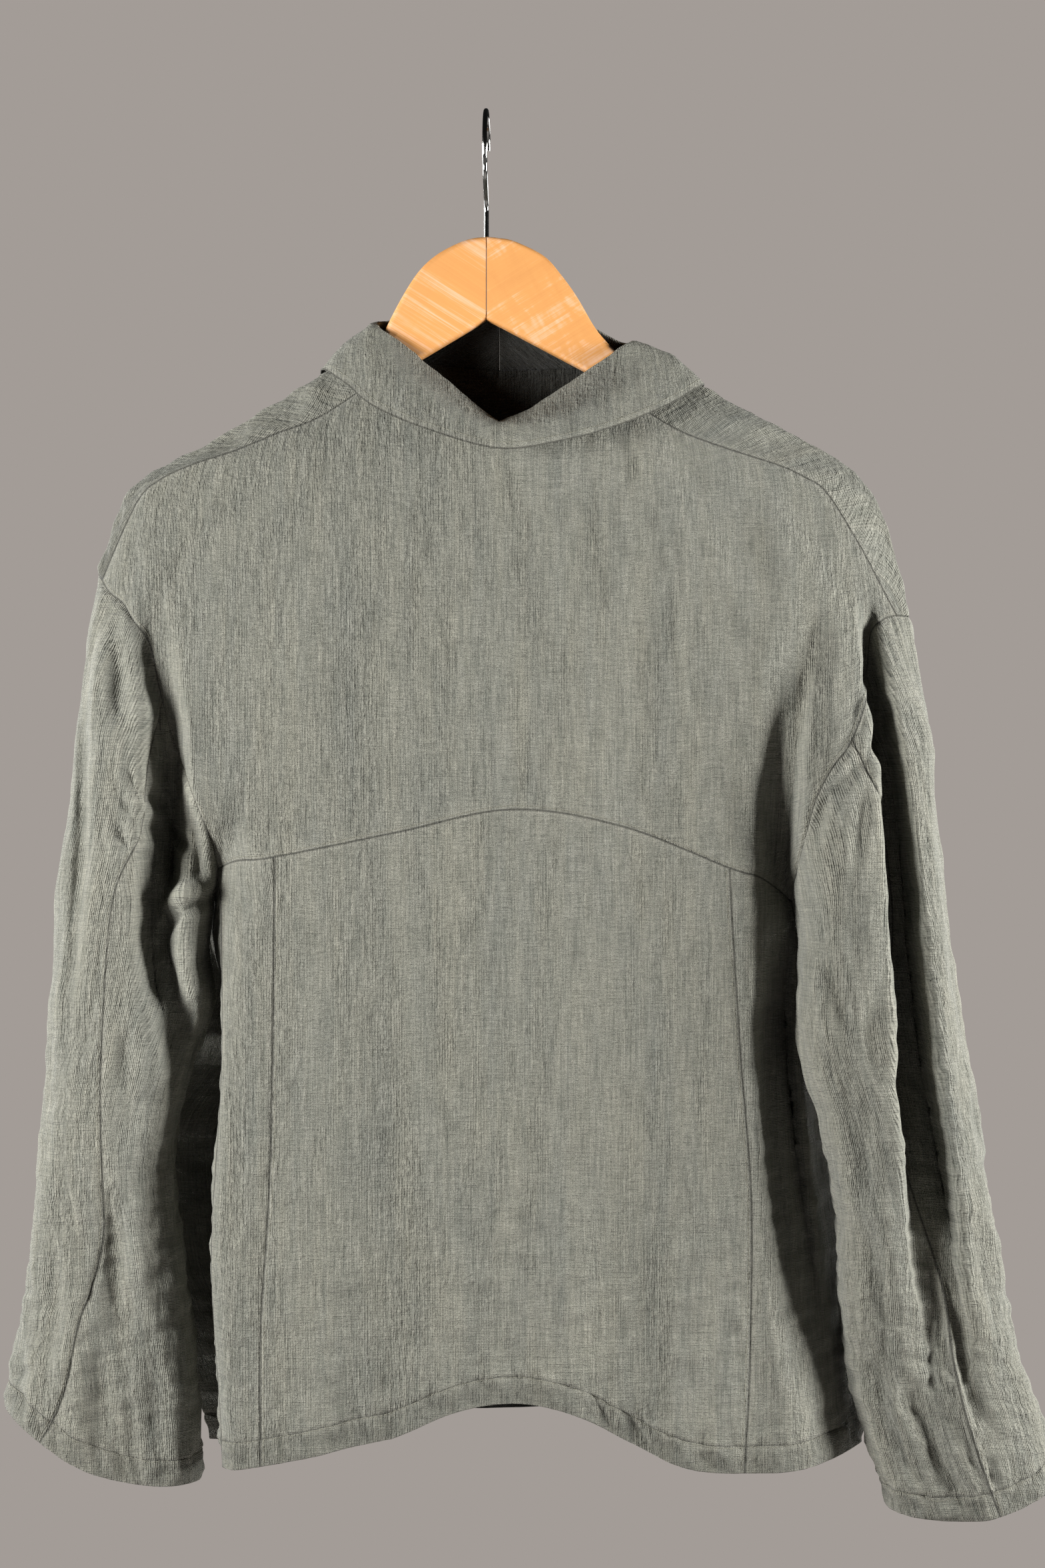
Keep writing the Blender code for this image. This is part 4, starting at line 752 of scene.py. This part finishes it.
# Stitch rows: piece, side, distance from it. Then the length, width and height of a stitch, the step to the
# next and the end of a row that stays free
SEAM_STITCHES = [
    ("upper_back", "v1", 2.4), ("upper_back", "u0", 2.4), ("upper_back", "u1", 2.4),
    ("back_centre", "u0", 2.4), ("back_centre", "u1", 2.4),
    ("sleeve_left_upper", "u1", 2.2), ("sleeve_right_upper", "u1", 2.2), ("collar_fall", "v1", 4.0)]
HEM_STITCHES = [(piece, "v1", HEM_STITCH) for piece in (
    "back_centre", "back_side_left", "back_side_right", "front",
    "sleeve_left_upper", "sleeve_left_under", "sleeve_right_upper", "sleeve_right_under")]
STITCH_LONG, STITCH_WIDE, STITCH_HIGH, STITCH_STEP, FREE_END = 2.1, 0.5, 0.34, 3.0, 2


def stitch_path(cloth, side, offset):
    """Points on the outside of a piece at a set distance from one of its sides, and the normals there."""
    axis, way = way_in(side)
    q, normal = (a.swapaxes(0, axis)[way] for a in (cloth.face(1, 0.05), cloth.normals))
    run, j = arcs(q), np.arange(q.shape[1])
    i = np.minimum((run < offset).sum(0), len(run) - 1)
    f = ((offset - run[i - 1, j]) / np.maximum(run[i, j] - run[i - 1, j], 1e-6))[:, None]
    return q[i - 1, j] * (1 - f) + q[i, j] * f, normal[i, j]


def build_stitches(name, rows, cloths, material):
    """Rows of short thread stitches, one small rounded stitch copied along each row."""
    bpy.ops.object.select_all(action="DESELECT")
    bpy.ops.mesh.primitive_cylinder_add(vertices=6, radius=0.5, depth=1.0, end_fill_type="TRIFAN",
                                        rotation=(0, math.pi / 2, 0))
    bpy.ops.object.transform_apply(rotation=True)
    sample = bpy.context.object
    bpy.ops.object.mode_set(mode="EDIT")
    bpy.ops.mesh.select_all(action="SELECT")
    bpy.ops.mesh.quads_convert_to_tris()
    bpy.ops.object.mode_set(mode="OBJECT")
    base = np.array([v.co for v in sample.data.vertices])
    base[np.hypot(base[:, 1], base[:, 2]) < 0.1, 0] *= 1.25
    tris = np.array([p.vertices[:] for p in sample.data.polygons])
    bpy.data.objects.remove(sample)
    points, faces = [], []
    for piece, side, offset in rows:
        path, normal = stitch_path(cloths[piece], side, offset)
        run = arcs(path)
        length = run[-1] - 2 * FREE_END
        count = int(length / STITCH_STEP)
        at = FREE_END + (np.arange(count) + 0.5) * length / count
        start, end = (at_run(at + d, run, path) for d in (-STITCH_LONG / 2, STITCH_LONG / 2))
        lead = unit(end - start)
        across = unit(np.cross(lead, at_run(at, run, normal)))
        for m, x, y, z in zip((start + end) / 2, lead, across, np.cross(across, lead)):
            faces.append(tris + len(points) * len(base))
            points.append(m + base[:, :1] * x * STITCH_LONG + base[:, 1:2] * y * STITCH_WIDE
                          + base[:, 2:] * z * STITCH_HIGH)
    return add_mesh(name, np.concatenate(points), np.concatenate(faces).tolist(), material)


# Upper and lower outline of the wooden arms from behind, left (-1) and right (1): sideways place and height
ARM_TOP = {
    -1: [(0, -78), (-9, -79), (-18, -82), (-31, -89), (-42, -99), (-52, -114), (-62.5, -134), (-68, -148),
        (-83, -163), (-103, -174), (-134, -193), (-171, -214.5), (-206, -232.5), (-216, -240)],
    1: [(0, -78), (9, -79), (18, -81), (36, -90), (47, -102), (57, -116), (67.5, -134), (75, -143.5),
        (84, -152.5), (103, -170), (138, -186), (190, -213.5), (212, -225.5), (224, -236)]}
ARM_LOW = {
    -1: [(-219, -246), (-213, -256), (-200, -250), (-120, -202), (-41, -155), (0.8, -130)],
    1: [(227, -242), (222, -250), (212, -243), (140, -204), (63, -163), (0.8, -130)]}
ROUNDING = 3.6          # radius of the arms' rounded edges
JOINT = 0.15            # half the gap between the two arms


def build_arm(name, side, material):
    """Half of the wooden hanger: its outline as a flat face, extruded to its thickness and rounded over."""
    def refine(rows, n):
        return along(np.array([(x, 0, z) for x, z in rows]), np.linspace(0, 1, n))
    low = ARM_LOW[side]
    loop = np.concatenate([refine(ARM_TOP[side], 90), refine(low[:3], 12), refine(low[2:], 24)[1:]])
    loop[0, 0] = loop[-1, 0] = side * JOINT
    bpy.ops.object.select_all(action="DESELECT")
    bpy.ops.mesh.primitive_circle_add(vertices=len(loop), radius=0.1, fill_type="NGON")
    arm = bpy.context.object
    arm.name = name
    for vertex, (x, _, z) in zip(arm.data.vertices, loop):
        vertex.co = (x * MM, -WOOD / 2 * MM, z * MM)
    bpy.ops.object.mode_set(mode="EDIT")
    bpy.ops.mesh.select_all(action="SELECT")
    bpy.ops.mesh.extrude_region_move(TRANSFORM_OT_translate={"value": (0, WOOD * MM, 0)})
    bpy.ops.mesh.select_all(action="SELECT")
    bpy.ops.mesh.normals_make_consistent(inside=False)
    bpy.ops.object.mode_set(mode="OBJECT")
    # Rounded over all round, with only a hair of rounding where the two arms meet
    weight = arm.data.attributes.new("bevel_weight_edge", "FLOAT", "EDGE")
    for edge in arm.data.edges:
        a, b = (arm.data.vertices[k].co for k in edge.vertices)
        if abs(a.y - b.y) < 0.5 * WOOD * MM:
            weight.data[edge.index].value = 0.08 if max(abs(a.x), abs(b.x)) < 0.2 * MM else 1.0
    rounding = arm.modifiers.new("rounding", "BEVEL")
    rounding.width, rounding.segments, rounding.limit_method = ROUNDING * MM, 5, "WEIGHT"
    bpy.ops.object.modifier_apply(modifier="rounding")
    bpy.ops.object.shade_smooth_by_angle(angle=math.radians(40))
    arm.data.materials.clear()
    arm.data.materials.append(material)
    return arm


def build_hook(material):
    """Bent wire hook, a smooth run of points with a round section."""
    points = [(0, 0, -84), (0, 0, -66), (0, -1, -58), (0, -8, -50), (0, -17, -41)]
    for a in np.radians(215 - 205 * np.arange(13) / 12):
        points.append((0, math.cos(a) * HOOK_RADIUS, WIRE / 2 - HOOK_RADIUS + math.sin(a) * HOOK_RADIUS))
    path = along(points, np.linspace(0, 1, 130))
    curve = bpy.data.curves.new("hook_wire", "CURVE")
    curve.dimensions = "3D"
    curve.bevel_depth, curve.bevel_resolution, curve.use_fill_caps = WIRE / 2 * MM, 6, True
    line = curve.splines.new("POLY")
    line.points.add(len(path) - 1)
    turn = math.radians(HOOK_TURN)
    for point, (_, y, z) in zip(line.points, path):
        point.co = (y * math.sin(turn) * MM, y * math.cos(turn) * MM, z * MM, 1)
    hook = add_object("hook_wire", curve)
    bpy.ops.object.select_all(action="DESELECT")
    hook.select_set(True)
    bpy.context.view_layer.objects.active = hook
    bpy.ops.object.convert(target="MESH")
    bpy.ops.object.mode_set(mode="EDIT")
    bpy.ops.mesh.select_all(action="SELECT")
    bpy.ops.mesh.remove_doubles(threshold=0.00001)
    bpy.ops.object.mode_set(mode="OBJECT")
    bpy.ops.object.shade_smooth_by_angle(angle=math.radians(50))
    hook = bpy.context.object
    hook.data.materials.clear()
    hook.data.materials.append(material)
    return hook


def hex_colour(text):
    """Linear colour from an sRGB hex value."""
    values = [int(text[k:k + 2], 16) / 255 for k in (1, 3, 5)]
    return tuple(v / 12.92 if v <= 0.04045 else ((v + 0.055) / 1.055) ** 2.4 for v in values) + (1.0,)


def add_node(tree, kind, inputs, **settings):
    """Node of a kind with its settings, and with its inputs set to values or linked to other sockets."""
    node = tree.nodes.new("ShaderNode" + kind)
    for key, value in settings.items():
        setattr(node, key, value)
    for key, value in inputs.items():
        if isinstance(value, bpy.types.NodeSocket):
            tree.links.new(value, node.inputs[key])
        else:
            node.inputs[key].default_value = value
    return node


def start_material(name, **sockets):
    """New material with its Principled shader set, and the tree to add to."""
    material = bpy.data.materials.new(name)
    material.use_nodes = True
    shader = material.node_tree.nodes["Principled BSDF"]
    for key, value in sockets.items():
        shader.inputs[key.replace("_", " ")].default_value = value
    return material, material.node_tree, shader


# Washed linen on the flat run of its threads, each row a field of noise: repeats a metre across and along the
# cloth, detail, roughness of the noise, its share of the tone, of the tint and of the relief
LINEN_FIELDS = [
    (1000, 42, 3, 0.62, 1.25, 0.0, 0.45),    # warp slubs, 1 mm wide and 24 mm long
    (42, 1000, 3, 0.62, 0.65, 0.0, 0.40),    # weft slubs, the same across, fainter
    (330, 17, 4, 0.60, 0.60, 0.2, 0.50),     # bundles of thicker warp threads, 3 mm
    (70, 4, 4, 0.60, 0.20, 0.5, 0.0),        # bands of dye down the cloth, 14 mm
    (24, 11, 5, 0.60, 0.20, 0.5, 0.0),       # cloudy wash, 40 mm
    (240, 70, 4, 0.65, 0.20, 0.0, 1.6),      # dry crinkle down the cloth, 4 mm wide
    (120, 210, 4, 0.65, 0.26, 0.0, 2.1)]     # dry crinkle across it, 5 mm
DYE_DARK, DYE_LIGHT, COOL, WARM = "#585A51", "#8A897E", "#F5F8FF", "#FFFBF3"


def washed_linen(name, seed):
    """Washed plain-weave linen, grey-green: matt and dry, slubs both ways, bands of dye, worn seams; painted
    shade in the seam grooves and on the inside.
    """
    material, tree, shader = start_material(name, Roughness=0.9, IOR=1.45, Specular_IOR_Level=0.2,
                                            Sheen_Weight=0.08, Sheen_Roughness=0.5)
    threads = add_node(tree, "UVMap", {}, uv_map="threads").outputs[0]
    sums = [0.5 - sum(row[k] for row in LINEN_FIELDS) / 2 for k in (4, 5, 6)]
    for across, down, detail, rough, *shares in LINEN_FIELDS:
        place = add_node(tree, "Mapping", {"Vector": threads, "Location": (seed * 3.7, seed * 2.1, 0),
                                           "Scale": (across, down, 1)})
        field = add_node(tree, "TexNoise", {"Vector": place.outputs[0], "Scale": 1.0, "Detail": detail,
                                            "Roughness": rough}, noise_dimensions="2D")
        sums = [add_node(tree, "Math", {0: field.outputs[0], 1: share, 2: total},
                         operation="MULTIPLY_ADD").outputs[0] for share, total in zip(shares, sums)]
    tone, tint, relief = sums
    # Warp and weft: thread spacing 0.7 mm really, drawn at 1.0 mm so that it shows
    for direction in ("X", "Y"):
        wave = add_node(tree, "TexWave", {"Vector": threads, "Scale": 314.0, "Distortion": 1.5, "Detail": 2.0,
                                          "Detail Scale": 0.3}, wave_type="BANDS", bands_direction=direction)
        tone, relief = (add_node(tree, "Math", {0: wave.outputs[1], 1: share, 2: total},
                                 operation="MULTIPLY_ADD").outputs[0]
                        for share, total in ((0.10, tone), (0.22, relief)))
    dyed, tinted = (add_node(tree, "Mix", {0: mixed, 6: hex_colour(first), 7: hex_colour(last)},
                             data_type="RGBA")
                    for mixed, first, last in ((tone, DYE_DARK, DYE_LIGHT), (tint, COOL, WARM)))
    base = add_node(tree, "Mix", {0: 1.0, 6: dyed.outputs[2], 7: tinted.outputs[2]}, data_type="RGBA",
                    blend_type="MULTIPLY").outputs[2]
    # Seams: a paler rubbed edge with a thin dark line of painted shade in the groove; the inside is painted
    # darker as shade
    for attribute, first, last, most, colour in (("seam", 4.2, 1.6, 0.16, "#928F84"),
                                                 ("seam", 1.1, 0.3, 0.70, "#2C2B25"),
                                                 ("inside", 0.0, 1.0, 0.90, "#181714")):
        value = add_node(tree, "Attribute", {}, attribute_name=attribute).outputs["Fac"]
        amount = add_node(tree, "MapRange", {"Value": value, "From Min": first, "From Max": last,
                                             "To Max": most})
        base = add_node(tree, "Mix", {0: amount.outputs[0], 6: base, 7: hex_colour(colour)},
                        data_type="RGBA").outputs[2]
    bump = add_node(tree, "Bump", {"Strength": 1.0, "Distance": 0.0016, "Height": relief})
    tree.links.new(base, shader.inputs["Base Color"])
    tree.links.new(bump.outputs[0], shader.inputs["Normal"])
    return material


# Lacquered beech, each row a field of noise down the arm: repeats a metre along, through and across it,
# detail, distortion, its share of the tone on the left arm and on the right
BEECH_FIELDS = [
    (5, 60, 230, 3, 0.4, 0.22, 0.16),       # growth lines, 4 mm apart
    (24, 300, 1300, 3, 0.0, 0.22, 0.20),    # pores, under 1 mm wide and 40 mm long
    (4, 12, 26, 2, 0.0, 0.35, 0.35),        # broad change of tone
    (140, 40, 40, 2, 1.0, 0.03, 0.20)]      # curly figure across the grain, 8 mm


def lacquered_beech(name, side):
    """Pale warm beech under clear satin lacquer: fine grain down each arm, curly figure on the right one."""
    material, tree, shader = start_material(name, Roughness=0.45, IOR=1.5,
                                            Coat_Weight=0.12, Coat_Roughness=0.3)
    place = add_node(tree, "TexCoord", {}).outputs["Object"]
    slope = (0, side * math.radians(32), 0)
    turned = add_node(tree, "Mapping", {"Vector": place, "Rotation": slope}).outputs[0]
    column = 5 if side < 0 else 6
    tone = 0.5 - sum(row[column] for row in BEECH_FIELDS) / 2
    for row in BEECH_FIELDS:
        move = add_node(tree, "Mapping", {"Vector": turned, "Scale": row[:3], "Location": (side * 0.3, 0, 0)})
        field = add_node(tree, "TexNoise", {"Vector": move.outputs[0], "Scale": 1.0, "Detail": row[3],
                                            "Distortion": row[4]})
        tone = add_node(tree, "Math", {0: field.outputs[0], 1: row[column], 2: tone},
                        operation="MULTIPLY_ADD").outputs[0]
    ramp = add_node(tree, "ValToRGB", {"Fac": tone})
    ends = ramp.color_ramp.elements
    for stop, at, colour in ((ends[0], 0.0, "#A86A38"), (ends[1], 1.0, "#CD9E62"),
                             (ends.new(0.5), 0.5, "#C68C50")):
        stop.position, stop.color = at, hex_colour(colour)
    bump = add_node(tree, "Bump", {"Strength": 0.10, "Distance": 0.0002, "Height": tone})
    tree.links.new(ramp.outputs[0], shader.inputs["Base Color"])
    tree.links.new(bump.outputs[0], shader.inputs["Normal"])
    return material


def plated_steel(name):
    """Nickel-chrome plated steel wire, polished, with a little uneven haze from handling."""
    material, tree, shader = start_material(name, Metallic=1.0, Base_Color=hex_colour("#80807D"))
    place = add_node(tree, "TexCoord", {}).outputs["Object"]
    haze = add_node(tree, "TexNoise", {"Vector": place, "Scale": 60.0, "Detail": 2.0}).outputs[0]
    rough = add_node(tree, "Math", {0: haze, 1: 0.03, 2: 0.10}, operation="MULTIPLY_ADD").outputs[0]
    tree.links.new(rough, shader.inputs["Roughness"])
    return material


def cotton_thread(name):
    """Spun sewing thread in the cloth's colour, matt with a slight twist of light and dark."""
    material, tree, shader = start_material(name, Roughness=0.8)
    place = add_node(tree, "TexCoord", {}).outputs["Object"]
    twist = add_node(tree, "TexNoise", {"Vector": place, "Scale": 900.0, "Detail": 1.0}).outputs[0]
    mix = add_node(tree, "Mix", {0: twist, 6: hex_colour("#5B5A51"), 7: hex_colour("#7A7869")},
                   data_type="RGBA")
    tree.links.new(mix.outputs[2], shader.inputs["Base Color"])
    return material


def sewn(u0, u1, v0, v1, last=HEM):
    """Sides of a piece by how hard each one's stitches pull on the cloth; the last one is a hem or a seam."""
    return {"u0": (SEAM, u0), "u1": (SEAM, u1), "v0": (SEAM, v0), "v1": (last, v1)}


def build_shirt():
    """All linen pieces, creased and puckered, each with its own seed for the noise."""
    pieces = [Cloth("upper_back", upper_back_grid(), True, sewn(0.7, 0.7, 0.5, 0.6, SEAM), 0.8, 1)]
    for seed, (name, u0, u1, cells, pulls, crumple) in enumerate((
            ("back_side_left", 0, 1, 18, (0.4, 0.5, 0.3, 1.4), 0.7),
            ("back_centre", 1, 5, 120, (0.5, 0.5, 0.35, 1.7), 0.8),
            ("back_side_right", 5, SIDE_SEAM, 40, (0.5, 0.4, 0.3, 1.5), 0.7)), 2):
        pieces.append(Cloth(name, back_panel_grid(u0, u1, cells), True, sewn(*pulls), crumple, seed))
    grid, keep = front_grid()
    sides = {**sewn(0.6, 0.6, 2.0, 1.1), "v0": (SEAM, 2.0, 40, -1.0)}
    pieces.append(Cloth("front", grid, False, sides, 1.0, 5, keep=keep))
    for seed, (side, piece) in enumerate(((side, piece) for side in ("left", "right")
                                          for piece in ("upper", "under")), 6):
        grid, grain = sleeve_grid(side, piece == "under")
        sides = sewn(0.9, 0.9, 1.0, 1.4)
        pieces.append(Cloth(f"sleeve_{side}_{piece}", grid, side == "left", sides, 1.0, seed, grain))
    stand, fall = collar_grids()
    pieces += [Cloth("collar_stand", stand, False, {"v0": (SEAM, 0.2)}, 0.4, 12),
               Cloth("collar_fall", fall, False, {"v1": (SEAM, 1.3)}, 0.8, 13)]
    # Painted shade: the band and the inside of the fold are painted as dark as the inside of the shirt
    pieces[-2].hidden[:] = pieces[-1].hidden[:, :4] = 1.0
    return pieces


cloths = {cloth.name: cloth for cloth in build_shirt()}
linens = {node: build_cloth(cloth, washed_linen(f"washed linen {node}", number))
          for number, (node, cloth) in enumerate(cloths.items(), 1)}
thread = cotton_thread("cotton sewing thread")
seam_stitches = build_stitches("stitches_seams", SEAM_STITCHES, cloths, thread)
hem_stitches = build_stitches("stitches_hems", HEM_STITCHES, cloths, thread)
arms = {name: build_arm(f"beech_{name}", side, lacquered_beech(f"lacquered beech {name}", side))
        for name, side in (("hanger_arm_left", -1), ("hanger_arm_right", 1))}
hook = build_hook(plated_steel("plated steel wire"))

for node, piece in {**linens, **arms, "hanger_hook": hook}.items():
    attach(piece, "root")
    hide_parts(node)
for piece in (seam_stitches, hem_stitches):
    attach(piece, "root")


FLOOR_HEIGHT = -1.75    # metres: the hook hangs as high as on a garment rail
FLOOR_RADIUS = 3.0
WALL_RADIUS = 8.0       # the round backdrop, centred on the floor so that it reaches far up and down
WALL_HEIGHT = 24.0


def build_stage():
    """Plain pale floor, and a plain round backdrop that only the camera sees, the same from each side."""
    centre = (0, 0, FLOOR_HEIGHT)
    bpy.ops.object.select_all(action="DESELECT")
    bpy.ops.mesh.primitive_circle_add(vertices=96, radius=FLOOR_RADIUS, fill_type="NGON", location=centre)
    floor = bpy.context.object
    bpy.ops.object.select_all(action="DESELECT")
    bpy.ops.mesh.primitive_cylinder_add(vertices=96, radius=WALL_RADIUS, depth=WALL_HEIGHT, location=centre)
    wall = bpy.context.object
    wall.visible_diffuse = wall.visible_glossy = wall.visible_transmission = wall.visible_shadow = False
    paint = start_material("pale painted floor", Roughness=0.9, Base_Color=hex_colour("#B9B4B2"))[0]
    glow = start_material("pale studio backdrop", Base_Color=(0, 0, 0, 1), Specular_IOR_Level=0.0,
                          Emission_Color=hex_colour("#A39C97"), Emission_Strength=1.0)[0]
    for piece, name, material in ((floor, "floor", paint), (wall, "backdrop", glow)):
        piece.name = name
        piece.data.materials.append(material)


def add_light(name, place, target, size, power):
    """Soft rectangular studio light that looks at a point."""
    light = bpy.data.lights.new(name, "AREA")
    light.shape, light.size, light.size_y, light.energy = "RECTANGLE", size[0], size[1], power
    obj = add_object(name, light)
    obj.location = place
    way = np.array(place) - np.array(target)
    obj.rotation_euler = (math.atan2(math.hypot(way[0], way[1]), way[2]), 0, math.atan2(way[0], -way[1]))


build_stage()
add_light("left_light", (-1.45, -0.95, -0.28), (0, 0, -0.42), (0.7, 0.8), 76)
add_light("right_light", (1.65, -0.35, -0.3), (0.15, 0, -0.42), (0.5, 0.6), 78)
add_light("front_left_light", (-1.9, 1.5, 0.1), (0, 0, -0.42), (0.7, 0.7), 60)
add_light("front_right_light", (1.8, 2.0, -0.3), (0, 0, -0.42), (0.7, 0.7), 30)
world = bpy.data.worlds.new("studio")
world.use_nodes = True
world.node_tree.nodes["Background"].inputs[0].default_value = (1, 1, 1, 1)
world.node_tree.nodes["Background"].inputs[1].default_value = 0.02
bpy.context.scene.world = world
camera = bpy.data.cameras.new("camera")
camera.lens, camera.sensor_width = 65.57, 36.0
eye = add_object("camera", camera)
eye.location = (0.0227, -1.8, -0.4223)
eye.rotation_euler = (math.pi / 2, 0, 0)
bpy.context.scene.camera = eye
bpy.context.scene.view_settings.view_transform = "Standard"
